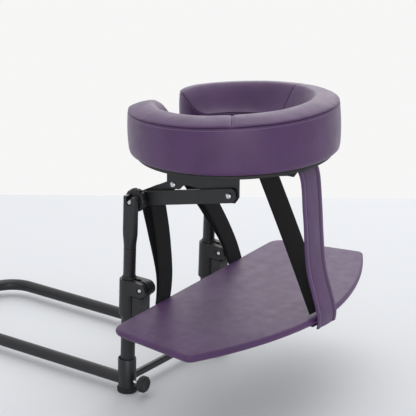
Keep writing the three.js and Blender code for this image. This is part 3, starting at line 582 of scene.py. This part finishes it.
for side, sign in SIDES.items():
    knob = spin_profile(bmesh.new(), [
        (3.3, -5.4), (4.7, -5.4), (5.1, -5.0), (5.2, -0.4), (9.5, 0), (11.4, 0.2), (12.6, 0.8),
        (13.1, 1.8), (13.25, 3.4), (13.25, 6.4), (12.9, 8.0), (12.0, 9.2), (10.4, 9.9), (8.0, 10.1),
        (7.4, 9.7), (0, 9.5),
    ], 144)
    flute(knob, 12, 1.0, 13.25)
    placed(knob, ALONG_MINUS_Y, shift(sign * HALF_SPACING, KNOB_FORWARD, KNOB_HEIGHT))
    finish_piece(knob, "fluted_knob_" + side, "base_knob_" + side, MOULDED,
                 ["base_knob_" + side], 50)
    screw = spin_profile(bmesh.new(), [
        (0, 0), (2.2, 0), (2.9, 0.8)] + [
        (2.9 - 0.35 * (i % 2), 1.3 + 0.5 * i) for i in range(38)] + [(0, 20.6)], 32)
    placed(screw, ALONG_MINUS_Y, shift(sign * HALF_SPACING, SCREW_FORWARD, KNOB_HEIGHT))
    finish_piece(screw, "knob_screw_" + side, "base_knob_" + side, ZINC,
                 ["base_screw_" + side], 60)
print("base knobs made")

# %% [markdown]
# ## Posts
# Each post is two tubes that slide in each other. A plastic clamp grips the lower one, with two
# ears, a pin and a cam lever that hangs down when it is shut.

# %% Tubes, collars and pins
LOWER_RADIUS = 11.1
LOWER_WALL = 1.35
LOWER_ENDS = (4, 184)
UPPER_RADIUS = 9.525
UPPER_WALL = 1.5
UPPER_ENDS = (95, 237.9)
UPPER_EASE = 0.15
PIN_FORWARD = -28.6
PIN_HEIGHT = 178


def leaning(bm, sign):
    return placed(bm, shift(sign * HALF_SPACING), LEAN_POST)


def tube_wall(outer, wall, low, high, ease=0.5):
    inner = outer - wall
    return spin_profile(bmesh.new(), [
        (inner, low), (outer - ease, low), (outer, low + ease), (outer, high - ease),
        (outer - ease, high), (inner, high), (inner, low),
    ], 56)


for side, sign in SIDES.items():
    lower = leaning(tube_wall(LOWER_RADIUS, LOWER_WALL, *LOWER_ENDS), sign)
    finish_piece(lower, "lower_post_" + side, "posts", COATED_STEEL, ["lower_tube_" + side])
    upper = leaning(tube_wall(UPPER_RADIUS, UPPER_WALL, *UPPER_ENDS, UPPER_EASE), sign)
    finish_piece(upper, "upper_post_" + side, "risers", COATED_STEEL, ["upper_tube_" + side])
    bush = spin_profile(bmesh.new(), [
        (9.85, 188.3), (10.9, 188.3), (10.9, 191.2), (10.6, 192.1), (10.1, 192.3), (9.85, 192.0),
        (9.85, 188.3)], 56)
    finish_piece(leaning(bush, sign), "guide_bush_" + side, "posts", MOULDED,
                 ["collar_" + side])
    pin = spin_profile(bmesh.new(), [
        (0, -12.7), (1.2, -12.7), (1.5, -12.4), (2.6, -12.4), (3.0, -12.0), (3.0, 12.0),
        (2.6, 12.4), (1.5, 12.4), (1.2, 12.7), (0, 12.7)], 32)
    placed(pin, ALONG_X, shift(0, PIN_FORWARD, PIN_HEIGHT))
    finish_piece(leaning(pin, sign), "cam_pin_" + side, "posts", ZINC,
                 ["clamp_pin_" + side], 30)
    eased_copy("clamp_body_" + side, MOULDED, 0.5, 2, 35)
    eased_copy("clamp_lever_" + side, MOULDED, 0.8, 3, 35)
    eased_copy("fork_" + side, COATED_STEEL, 0.7, 3, 38)
print("posts made")

# %% [markdown]
# ## Axle and tilt linkage
# A steel axle drops into the forks. Flat links run from it to the cradle brackets, and a hand
# wheel at each end squeezes them together. The plates are stamped, so only their edges are eased.

# %% Axle, spacer and hand wheels
axle = spin_profile(bmesh.new(), [
    (0, -108), (2.6, -108), (3.2, -107.4), (4.0, -106.6),
    (4.0, 106.6), (3.2, 107.4), (2.6, 108), (0, 108)], 40)
placed(axle, ALONG_X, Matrix.Translation(AXLE))
finish_piece(axle, "axle_rod", "axle", ZINC, ["tilt_axle"], 35)
sleeve = spin_profile(bmesh.new(), [
    (4.6, -73), (6.6, -73), (7.0, -72.6), (7.0, 72.6), (6.6, 73), (4.6, 73), (4.6, -73)], 40)
placed(sleeve, ALONG_X, Matrix.Translation(AXLE))
finish_piece(sleeve, "axle_sleeve", "axle", COATED_STEEL, ["axle_spacer"])

for side, sign in SIDES.items():
    low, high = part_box("tilt_hub_" + side)
    wheel = spin_profile(bmesh.new(), [
        (4.3, -6.5), (8.0, -6.5), (9.0, -6.0), (13.5, -6.0), (16.0, -5.6), (17.4, -4.4), (18.0, -2.6),
        (18.0, 2.6), (17.4, 4.4), (16.0, 5.6), (13.5, 6.0), (9.0, 6.0), (8.0, 6.5), (4.3, 6.5),
        (4.3, -6.5)], 160)
    flute(wheel, 10, 1.6, 18.0, 3.0)
    centre = (low + high) / 2
    placed(wheel, ALONG_X, Matrix.Translation((centre.x, AXLE.y, AXLE.z)))
    finish_piece(wheel, "hand_wheel_" + side, "tilt_hub_" + side, MOULDED,
                 ["tilt_hub_" + side], 50)
    for plate in ("long_link_", "short_link_", "bracket_"):
        eased_copy(plate + side, COATED_STEEL, 0.5, 2, 40)
    for bolt in ("front_bolt_", "rear_bolt_"):
        eased_copy(bolt + side, ZINC, 0.25, 2, 25)
print("axle and linkage made")

# %% [markdown]
# ## The crescent cushion
# The cushion is one section carried round a circle, closed by half-turns of the same section at
# the two lobes. So a profile is spun about the centre of the ring, and half of it is spun about
# the middle of each lobe. The corners are then moved: lobes thinner, small puckers at the seam.

# %% Where the head end sits
PITCH = math.radians(2.4)
RING_Y = -125
RING_HEIGHT = 386.5
RING_CENTRE = Vector((0, RING_Y, RING_HEIGHT)) * MM
HEAD = Matrix.Translation(RING_CENTRE) @ Matrix.Rotation(-PITCH, 4, "X")
MOUTH = math.radians(32)
OUTER, INNER = 158.0, 84.0
BOARD_TOP = 5.5
TAPE_TOP = BOARD_TOP + 0.3 + 1.2
STACK = TAPE_TOP + 0.3
CUSHION_HEIGHT = 89.0
RIDGE = 124.0
INNER_SHARE = 0.5
LOBE_DROP = 0.3


def crescent_body(profile, outer, inner, ring_steps=150, lobe_steps=22):
    """Spins a section of (inset, z) corners, from the bottom middle to the top middle."""
    bm = bmesh.new()
    middle = (outer + inner) / 2
    half = (outer - inner) / 2

    def section(direction, origin):
        verts = [bm.verts.new(origin + direction * max(half - inset, 0) * MM + Vector((0, 0, z * MM)))
                 for inset, z in profile]
        edges = [bm.edges.new(pair) for pair in zip(verts, verts[1:])]
        return verts + edges

    for way in (1, -1):
        start = math.pi / 2 + MOUTH
        spoke = Vector((math.cos(start), math.sin(start), 0))
        bmesh.ops.spin(
            bm, geom=section(spoke * way, spoke * middle * MM), cent=(0, 0, 0), axis=(0, 0, 1),
            angle=2 * math.pi - 2 * MOUTH, steps=ring_steps)
    for sign in (1, -1):
        angle = math.pi / 2 + sign * MOUTH
        spoke = Vector((math.cos(angle), math.sin(angle), 0))
        centre = spoke * middle * MM
        bmesh.ops.spin(
            bm, geom=section(spoke, centre), cent=centre, axis=(0, 0, -sign),
            angle=math.pi, steps=lobe_steps)
    bmesh.ops.remove_doubles(bm, verts=bm.verts, dist=0.02 * MM)
    return bm


def smooth(value, low, high):
    share = min(1.0, max(0.0, (value - low) / (high - low)))
    return share * share * (3 - 2 * share)


def top_share(x, y):
    """The share of the full height that the top keeps: it falls to the hole and to the lobes."""
    slope = smooth(math.hypot(x, y), INNER, RIDGE)
    lobe = min(1.0, max(0.0, (y + OUTER) / (2 * OUTER)))
    return (INNER_SHARE + (1 - INNER_SHARE) * slope) * (1 - LOBE_DROP * lobe)


def settle(x, y):
    """How far, in mm, the top of the used foam has settled to one side."""
    return 0.03 * y - 0.022 * x


def lifted(x, y, level):
    """Where a level of the plain cushion, in mm, ends up once its top is shaped."""
    return level * top_share(x, y) + settle(x, y) * level / CUSHION_HEIGHT


def shape_top(bm, bottom):
    for vert in bm.verts:
        level = vert.co.z / MM - bottom
        if level > 0:
            vert.co.z = (bottom + lifted(vert.co.x / MM, vert.co.y / MM, level)) * MM
    return bm


print("head end pitched", round(math.degrees(PITCH), 1), "degrees")

# %% The board and the tape ring
board = crescent_body([
    (31, 0), (1, 0), (0.4, 0.15), (0, 0.7), (0, BOARD_TOP - 0.7), (0.4, BOARD_TOP - 0.15),
    (1, BOARD_TOP), (31, BOARD_TOP)], 147, INNER + 1)
placed(board, HEAD)
finish_piece(board, "platform_board", "cradle", PAINTED_BOARD, ["platform"])
tape_low = BOARD_TOP + 0.3
tape = crescent_body([
    (18.5, tape_low), (0.3, tape_low), (0, tape_low + 0.3), (0, TAPE_TOP - 0.3), (0.3, TAPE_TOP),
    (18.5, TAPE_TOP)], 140, 103, 120, 12)
placed(tape, HEAD)
finish_piece(tape, "tape_ring", "cradle", LOOP_TAPE, ["grip_ring"])
print("platform made")

# %% The cushion cover
SEAM_LEVEL = 76.0
SEAM_LIP = 1.8
CROWN_EDGE = 1.3
CROWN_REACH = 35.7
CROWN_SPACING = 1.15
CROWN_LIFT = CUSHION_HEIGHT - SEAM_LEVEL - SEAM_LIP
PANEL_SEAMS = [math.radians(-16), math.radians(-146)]
SEAM_REACH = 9


def crown_level(share):
    """The height of the crown at a share of the way from its edge to its middle."""
    return SEAM_LEVEL + SEAM_LIP + CROWN_LIFT * math.sin(share * math.pi / 2) ** 0.85


def cushion_profile():
    """From the bottom middle, up the wall, through the seam's valley and over to the top middle."""
    profile = [(37, 0), (20, 0), (8, 0.2), (3.4, 0.9), (1.6, 2.6)]
    wall_steps = 16
    for i in range(1, wall_steps + 1):
        share = i / wall_steps
        bulge = 1.7 * math.sin(math.pi * share) ** 0.8
        profile.append((1.0 - bulge, 3.0 + (SEAM_LEVEL - 4.8) * share))
    profile += [(dip, SEAM_LEVEL + level) for dip, level in (
        (1.3, -1.1), (1.9, -0.6), (2.7, -0.1), (2.9, 0.2), (2.4, 0.6), (1.6, 1.1),
        (CROWN_EDGE, SEAM_LIP))]
    crown_steps = 18
    for i in range(1, crown_steps + 1):
        share = i / crown_steps
        profile.append((CROWN_EDGE + CROWN_REACH * share ** CROWN_SPACING, crown_level(share)))
    return profile


def press_radial_seams(bm):
    """Pulls the top panels down along each seam that crosses from the hole to the rim."""
    for vert in bm.verts:
        x, y, level = (c / MM for c in vert.co)
        if level < SEAM_LEVEL + 1:
            continue
        for angle in PANEL_SEAMS:
            aside = abs(x * math.sin(angle) - y * math.cos(angle))
            ahead = x * math.cos(angle) + y * math.sin(angle)
            if ahead > 0 and aside < SEAM_REACH:
                crease = 1.5 * math.exp(-(aside / 1.3) ** 2)
                hollow = 0.7 * math.exp(-(aside / 5) ** 2)
                vert.co.z -= (crease + hollow) * MM
    return bm


def pucker_cover(bm):
    """Small puckers along the rim seam, a slow unevenness, and a drawn wall below the seam."""
    for vert in bm.verts:
        level = vert.co.z / MM
        near_seam = math.exp(-((level - SEAM_LEVEL) / 9.0) ** 2)
        pucker = noise.noise(vert.co * 70) * 0.9 + noise.noise(vert.co * 190) * 0.35
        slow = noise.noise(vert.co * 17) * 0.9
        if level > 4:
            vert.co.z += (pucker * near_seam * 0.5 + slow * 0.8) * MM
        if 8 < level < SEAM_LEVEL - 2:
            draw = noise.noise(Vector((vert.co.x * 42, vert.co.y * 42, vert.co.z * 9)))
            outward = Vector((vert.co.x, vert.co.y, 0)).normalized()
            vert.co += outward * draw * 0.45 * smooth(level, 8, SEAM_LEVEL) * MM
    return bm


cover = crescent_body(cushion_profile(), OUTER, INNER, 270, 40)
press_radial_seams(cover)
pucker_cover(cover)
placed(cover, shift(z=STACK))
shape_top(cover, STACK)
placed(cover, HEAD)
cushion = finish_piece(cover, "cushion_skin", "cushion", VINYL,
                       ["cushion_cover", "cushion_foam", "cushion_base"], 80)
print("cushion made with", len(cushion.data.vertices), "corners")

# %% [markdown]
# ### Stitches and painted seam shade
# A row of short light stitches runs round the wall just below the rim seam. A near-black cord lies
# at the bottom of the rim seam, and near-black stitches in the panel seams; that near-black is painted
# shade of the seam valleys.

# %% Stitch the cover and lay the painted seam shade
STITCH_PITCH = 3.4
STITCH_LENGTH = 2.2
THREAD_DEPTH = 1.7


def heading(angle):
    return Vector((math.cos(angle), math.sin(angle), 0))


def rim_path(radius, steps, turns=30):
    """Points round the outer edge of the crescent, with its two lobes, at radius mm."""
    middle = (OUTER + INNER) / 2
    lobe = radius - middle
    start = math.pi / 2 + MOUTH
    sweep = 2 * math.pi - 2 * MOUTH
    lobe_turn = math.pi * 0.75
    path = [heading(start + sweep * i / steps) * radius for i in range(steps + 1)]
    end_centre = heading(start + sweep) * middle
    start_centre = heading(start) * middle
    for i in range(1, turns + 1):
        path.append(end_centre + heading(start + sweep + lobe_turn * i / turns) * lobe)
        path.insert(0, start_centre + heading(start - lobe_turn * i / turns) * lobe)
    return path


def on_top(point, level):
    """Lifts a point of the plan to a level of the cushion, in mm above the board."""
    return Vector((point.x, point.y, STACK + lifted(point.x, point.y, level)))


def evenly(points, pitch):
    """Walks along a row of points and returns places pitch mm apart, each with its direction."""
    out = []
    ahead = 0.0
    for a, b in zip(points, points[1:]):
        step = (b - a).length
        while ahead < step:
            out.append((a.lerp(b, ahead / step), (b - a).normalized()))
            ahead += pitch
        ahead -= step
    return out


def sew(points, radius, length, pitch, batch=16):
    """A row of short round stitches along the points, made a few at a time because that is quicker."""
    row = bmesh.new()
    places = evenly(points, pitch)
    for start in range(0, len(places), batch):
        few = bmesh.new()
        for place, direction in places[start:start + batch]:
            turn = direction.to_track_quat("Z", "Y").to_matrix().to_4x4()
            size = Matrix.Diagonal((radius, radius, length / 2, 1))
            bmesh.ops.create_uvsphere(few, u_segments=8, v_segments=6, radius=1.0 * MM,
                                      matrix=Matrix.Translation(place * MM) @ turn @ size)
        mesh = bpy.data.meshes.new("few_stitches")
        few.to_mesh(mesh)
        few.free()
        row.from_mesh(mesh)
        bpy.data.meshes.remove(mesh)
    return row


stitch_line = [on_top(point, SEAM_LEVEL - 4.0) for point in rim_path(OUTER - 0.75, 300)]
light_row = placed(sew(stitch_line, 0.42, STITCH_LENGTH, STITCH_PITCH), HEAD)
finish_piece(light_row, "rim_stitches", "cushion", THREAD_LIGHT, [], 60)
# Painted shade: a near-black cord laid in the rim seam's valley stands for the shade there.
cord = [(2.5 + 0.65 * math.cos(math.pi * i / 4), SEAM_LEVEL + 0.1 + 0.65 * math.sin(math.pi * i / 4))
        for i in range(9)]
seam_shade_row = shape_top(placed(crescent_body(cord, OUTER, INNER, 180, 30), shift(z=STACK)), STACK)
finish_piece(placed(seam_shade_row, HEAD), "rim_seam_painted_shade", "cushion", SEAM_SHADE_AND_DARK_THREAD, [], 60)


def panel_seam_line(angle):
    """Up over the top from the hole to the rim, following the crown."""
    line = []
    for i in range(41):
        radius = INNER + 2 + (OUTER - INNER - 4) * i / 40
        inset = min(radius - INNER, OUTER - radius)
        share = min(1.0, (max(inset - CROWN_EDGE, 0) / CROWN_REACH) ** (1 / CROWN_SPACING))
        line.append(on_top(heading(angle) * radius, crown_level(share) - THREAD_DEPTH))
    return line


# Near-black stitches sunk in each panel seam's crease: the seams are real, and their near-black is
# painted shade of the crease.
for name, angle in zip(("right", "left"), PANEL_SEAMS):
    cross = placed(sew(panel_seam_line(angle), 0.5, 2.6, 2.2), HEAD)
    finish_piece(cross, "panel_seam_shade_stitches_" + name, "cushion", SEAM_SHADE_AND_DARK_THREAD, [], 60)
print("cushion stitched")

# %% [markdown]
# ## The arm shelf
# A padded board. The vinyl is pulled over foam and stapled underneath, so the top is slightly
# domed, the rim is a soft roll, and the corners are rounded by the foam.

# %% The outline of the shelf
SHELF_TOP = 167.0
SHELF_PAD = 12.5
SHELF_BACK = -60.0
SHELF_CORNER = -210.0
SHELF_FRONT = -290.0
SHELF_HALF_BACK = 232.0
SHELF_HALF_FRONT = 258.0
SHELF_YAW = math.radians(3)
SHELF_ASIDE = -4
SHELF_PLACE = Matrix.Translation((SHELF_ASIDE * MM, 0, 0)) @ Matrix.Rotation(SHELF_YAW, 4, "Z")
REAR_CORNER = 22
FRONT_CORNER = 9


def bezier(points, share):
    """A point on a curve of any degree, by repeated halving of its control polygon."""
    work = [Vector(p) for p in points]
    while len(work) > 1:
        work = [a.lerp(b, share) for a, b in zip(work, work[1:])]
    return work[0]


def shelf_half(inset):
    """The right half of the outline, from the middle of the back to the middle of the front."""
    back = SHELF_BACK - inset
    half_back = SHELF_HALF_BACK - inset
    half_front = SHELF_HALF_FRONT - inset
    front = SHELF_FRONT + inset
    corner = Vector((half_front, SHELF_CORNER))
    side = Vector((half_front - half_back, SHELF_CORNER - back)).normalized()
    bow = Vector((half_front * 0.62, front + (SHELF_CORNER - front) * 0.28))
    arc = (bow - corner).normalized()
    rear = Vector((half_back, back))
    points = [(half_back * i / 12 * 0.9, back) for i in range(13)]
    turn_start = Vector((half_back - REAR_CORNER, back))
    turn_end = rear + side * REAR_CORNER
    points += [bezier([turn_start, rear, turn_end], i / 8) for i in range(9)]
    side_end = corner - side * FRONT_CORNER
    arc_start = corner + arc * FRONT_CORNER
    points += [turn_end.lerp(side_end, i / 10) for i in range(1, 10)]
    points += [bezier([side_end, corner, arc_start], i / 8) for i in range(9)]
    points += [bezier([arc_start, bow, (half_front * 0.25, front), (0, front)], i / 26)
               for i in range(1, 27)]
    return [Vector(p) for p in points]


def shelf_loop(bm, inset, z):
    half = shelf_half(inset)
    around = half + [Vector((-p.x, p.y)) for p in reversed(half[1:-1])]
    verts = [bm.verts.new((p.x * MM, p.y * MM, z * MM)) for p in around]
    return [bm.edges.new((a, b)) for a, b in zip(verts, verts[1:] + verts[:1])]


def shelf_body(levels):
    """Bridges the outline from one (inset, z) level to the next and closes both ends."""
    bm = bmesh.new()
    loops = [shelf_loop(bm, inset, z) for inset, z in levels]
    for low, high in zip(loops, loops[1:]):
        bmesh.ops.bridge_loops(bm, edges=low + high)
    bmesh.ops.contextual_create(bm, geom=loops[0])
    bmesh.ops.contextual_create(bm, geom=loops[-1])
    return bm


bottom = SHELF_TOP - SHELF_PAD
roll = [(4.6 * (1 - math.sin(a)), bottom + 6.6 - 6.0 * math.cos(a)) for a in
        [math.pi / 2 * i / 6 for i in range(7)]]
top_roll = [(5.0 * (1 - math.cos(a)), bottom + 7.2 + 4.3 * math.sin(a)) for a in
            [math.pi / 2 * i / 7 for i in range(8)]]
dome = [(5.0 + 62 * (i / 9) ** 1.3, SHELF_TOP - 1.0 + 1.0 * math.sin(math.pi / 2 * i / 9))
        for i in range(1, 10)]
pad = shelf_body([(9, bottom + 0.4)] + roll + top_roll + dome)
for vert in pad.verts:
    if vert.co.z > (bottom + 2) * MM:
        vert.co.z += noise.noise(vert.co * 14) * 0.5 * MM
placed(pad, SHELF_PLACE)
shelf_pad = finish_piece(pad, "shelf_cover", "shelf", VINYL_FLAT, ["shelf_pad"], 60)

under = [(14, 0.0), (13, 0.0), (12.6, 0.3), (12.6, 1.2), (14, 1.2)]
panel = shelf_body([(inset, bottom + rise) for inset, rise in under])
placed(panel, SHELF_PLACE)
finish_piece(panel, "shelf_under_panel", "shelf", PAINTED_BOARD, ["shelf_board"])
print("shelf made")

# %% [markdown]
# ## Straps
# A strap is a narrow sheet. A row of corners across its width is extruded along the line that the
# strap follows, one station at a time, and a UV map records metres along and across, so that
# the weave runs true. Each is then given its thickness.

# %% Extrude a strap along its line
def smooth_line(points, steps):
    """A smooth line through (y, z) points, by chord-length Catmull-Rom, in mm."""
    pts = [Vector(p) for p in points]
    pts = [pts[0] * 2 - pts[1]] + pts + [pts[-1] * 2 - pts[-2]]
    line = []
    for a, b, c, d in zip(pts, pts[1:], pts[2:], pts[3:]):
        ab, bc, cd = (b - a).length ** 0.5, (c - b).length ** 0.5, (d - c).length ** 0.5
        m1 = (c - b) + bc * ((b - a) / ab - (c - a) / (ab + bc))
        m2 = (c - b) + bc * ((d - c) / cd - (d - b) / (bc + cd))
        for i in range(steps):
            t = i / steps
            line.append(b * (2 * t ** 3 - 3 * t ** 2 + 1) + m1 * (t ** 3 - 2 * t ** 2 + t)
                        + c * (3 * t ** 2 - 2 * t ** 3) + m2 * (t ** 3 - t ** 2))
    line.append(pts[-2])
    return line


def strap(line, half_width, rows, relief=None):
    """A strip along (y, z) stations, in mm. relief(across, along) pushes it out along its face."""
    bm = bmesh.new()
    uv = bm.loops.layers.uv.new("strap")
    columns = [half_width * (2 * i / rows - 1) for i in range(rows + 1)]
    lengths = [0.0]
    for a, b in zip(line, line[1:]):
        lengths.append(lengths[-1] + (b - a).length)

    def facing(i):
        ahead = line[min(i + 1, len(line) - 1)] - line[max(i - 1, 0)]
        return Vector((ahead.y, -ahead.x)).normalized()

    def corner(i, across):
        out = facing(i) * (relief(across, lengths[i]) if relief else 0.0)
        return Vector((across, line[i].x + out.x, line[i].y + out.y)) * MM

    row = [bm.verts.new(corner(0, across)) for across in columns]
    edges = [bm.edges.new(pair) for pair in zip(row, row[1:])]
    for i in range(1, len(line)):
        made = bmesh.ops.extrude_edge_only(bm, edges=edges)["geom"]
        verts = sorted((g for g in made if isinstance(g, bmesh.types.BMVert)), key=lambda v: v.co.x)
        edges = [g for g in made if isinstance(g, bmesh.types.BMEdge)]
        for vert, across in zip(verts, columns):
            vert.co = corner(i, across)
        for face in (g for g in made if isinstance(g, bmesh.types.BMFace)):
            for loop in face.loops:
                is_new = loop.vert in verts
                along = lengths[i] if is_new else lengths[i - 1]
                loop[uv].uv = (along * MM, loop.vert.co.x)
    return bm, lengths[-1] * MM


def thicken(piece, thickness, ease):
    wall = piece.modifiers.new("thickness", "SOLIDIFY")
    wall.thickness = thickness * MM
    wall.offset = 0
    soft = piece.modifiers.new("soft_edges", "BEVEL")
    soft.width = ease * MM
    soft.segments = 2
    soft.limit_method = "ANGLE"
    soft.angle_limit = math.radians(50)


print("strap helper ready")

# %% The two rear straps
WRAP = 7.0 + 0.6 + 0.9
REAR_TOP = {"left": -50, "right": 50}
REAR_BOTTOM = {"left": -97, "right": 116}
REAR_LOW = 152.0
REAR_HALF_WIDTH = 17.0
slant = WRAP * math.sqrt(0.5)
ay, az = AXLE.y / MM, AXLE.z / MM
rear_line = smooth_line([
    (-53.4, REAR_LOW), (-53, 175), (-50.2, 205), (-37, 262), (ay - WRAP, az), (ay - slant, az + slant),
    (ay, az + WRAP), (ay + slant, az + slant), (ay + WRAP, az), (-22, 262), (-44.5, 205), (-49.4, 175),
    (-51, REAR_LOW)], 6)
for side in SIDES:
    bm, length = strap(rear_line, REAR_HALF_WIDTH, 8)
    for vert in bm.verts:
        z = vert.co.z / MM
        down = min(1.0, max(0.0, (az - z) / (az - REAR_LOW)))
        x = vert.co.x / MM + REAR_TOP[side] + (REAR_BOTTOM[side] - REAR_TOP[side]) * down
        vert.co.x = x * MM
        vert.co.y += math.tan(SHELF_YAW) * (x - HALF_SPACING) * smooth(down, 0.1, 0.9) * MM
    piece = finish_piece(bm, "rear_webbing_" + side, "axle", WEBBING, ["rear_strap_" + side],
                         50)
    thicken(piece, 1.7, 0.4)
print("rear straps made")

# %% The front strap, its lining and its sewn end
STRAP_TOP_Y = -256.0
STRAP_HALF_WIDTH = 25.0
STRAP_DEPTH = 1.6
LINING_TOP_Y = -173.0
LINING_BOTTOM_Y = -280.0
LINING_HALF_WIDTH = 23.0
PAD_FRONT = SHELF_FRONT / math.cos(SHELF_YAW)


def underside(y):
    """The height of the platform's underside, in mm."""
    return RING_HEIGHT + (RING_Y - y) * math.tan(PITCH)


def strap_seat(y):
    """Where the middle of the front strap lies under the platform."""
    return underside(y) - STRAP_DEPTH


STRAP_STITCH = 16.0


def hem(across, along):
    """Turned edges stand proud of the middle, with a dip at each row of stitches."""
    edge = abs(across)
    raised = 1.0 * math.sin(math.pi * min(1.0, max(0.0, (edge - STRAP_STITCH) / 9.0))) ** 0.7
    middle = 0.7 * (1 - (edge / STRAP_STITCH) ** 2) if edge < STRAP_STITCH else 0.0
    dip = -0.7 * math.exp(-((edge - STRAP_STITCH) / 0.8) ** 2)
    wave = 0.35 * noise.noise(Vector((across * 0.05, along * 0.03, 2.0)))
    return raised + middle + dip + wave


low_y = PAD_FRONT - 4.6
bend_end = strap_seat(STRAP_TOP_Y) - 13
span = bend_end - SHELF_TOP
front_line = smooth_line([
    (STRAP_TOP_Y + 26, strap_seat(STRAP_TOP_Y + 26)),
    (STRAP_TOP_Y + 13, strap_seat(STRAP_TOP_Y + 13) - 0.1),
    (STRAP_TOP_Y + 5, strap_seat(STRAP_TOP_Y) - 1.2), (STRAP_TOP_Y - 2, bend_end),
    (STRAP_TOP_Y - 9, SHELF_TOP + span * 0.74), (STRAP_TOP_Y - 18, SHELF_TOP + span * 0.33),
    (low_y, SHELF_TOP), (low_y + 1, bottom - 4)], 9)
bm, length = strap(front_line, STRAP_HALF_WIDTH, 50, hem)
front = finish_piece(bm, "front_vinyl_strap", "front_strap", VINYL, ["front_strap"], 60)
thicken(front, 2.2, 0.5)
for name, across in (("left", -STRAP_STITCH), ("right", STRAP_STITCH)):
    seam = []
    for i, station in enumerate(front_line):
        ahead = front_line[min(i + 1, len(front_line) - 1)] - front_line[max(i - 1, 0)]
        out = Vector((ahead.y, -ahead.x)).normalized() * 0.55
        seam.append(Vector((across, station.x + out.x, station.y + out.y)))
    row = sew(seam, 0.45, 2.6, 2.9)
    finish_piece(row, "strap_stitches_" + name, "front_strap", SEAM_SHADE_AND_DARK_THREAD, [], 60)

lining_top = (LINING_TOP_Y, underside(LINING_TOP_Y) - 0.6)
lining_bottom = (LINING_BOTTOM_Y, SHELF_TOP + 2.2)
lining_line = smooth_line([
    (lining_top[0] + (lining_bottom[0] - lining_top[0]) * s - bow,
     lining_top[1] + (lining_bottom[1] - lining_top[1]) * s)
    for s, bow in ((0, 0), (0.25, 1), (0.5, 1.5), (0.75, 1), (1, 0))], 8)
bm, length = strap(lining_line, LINING_HALF_WIDTH, 10)
lining = finish_piece(
    bm, "lining_webbing", "strap_lining", WEBBING, ["front_strap_lining"], 50)
thicken(lining, 1.5, 0.4)

wrap_line = [Vector((PAD_FRONT + 2 + 30 * i / 10, bottom - 1.2)) for i in range(11)]
bm, length = strap(wrap_line, 26.0, 20)
sewn_end = finish_piece(bm, "sewn_strap_end", "shelf", VINYL, ["strap_wrap"], 60)
thicken(sewn_end, 1.7, 0.5)
print("front strap made")
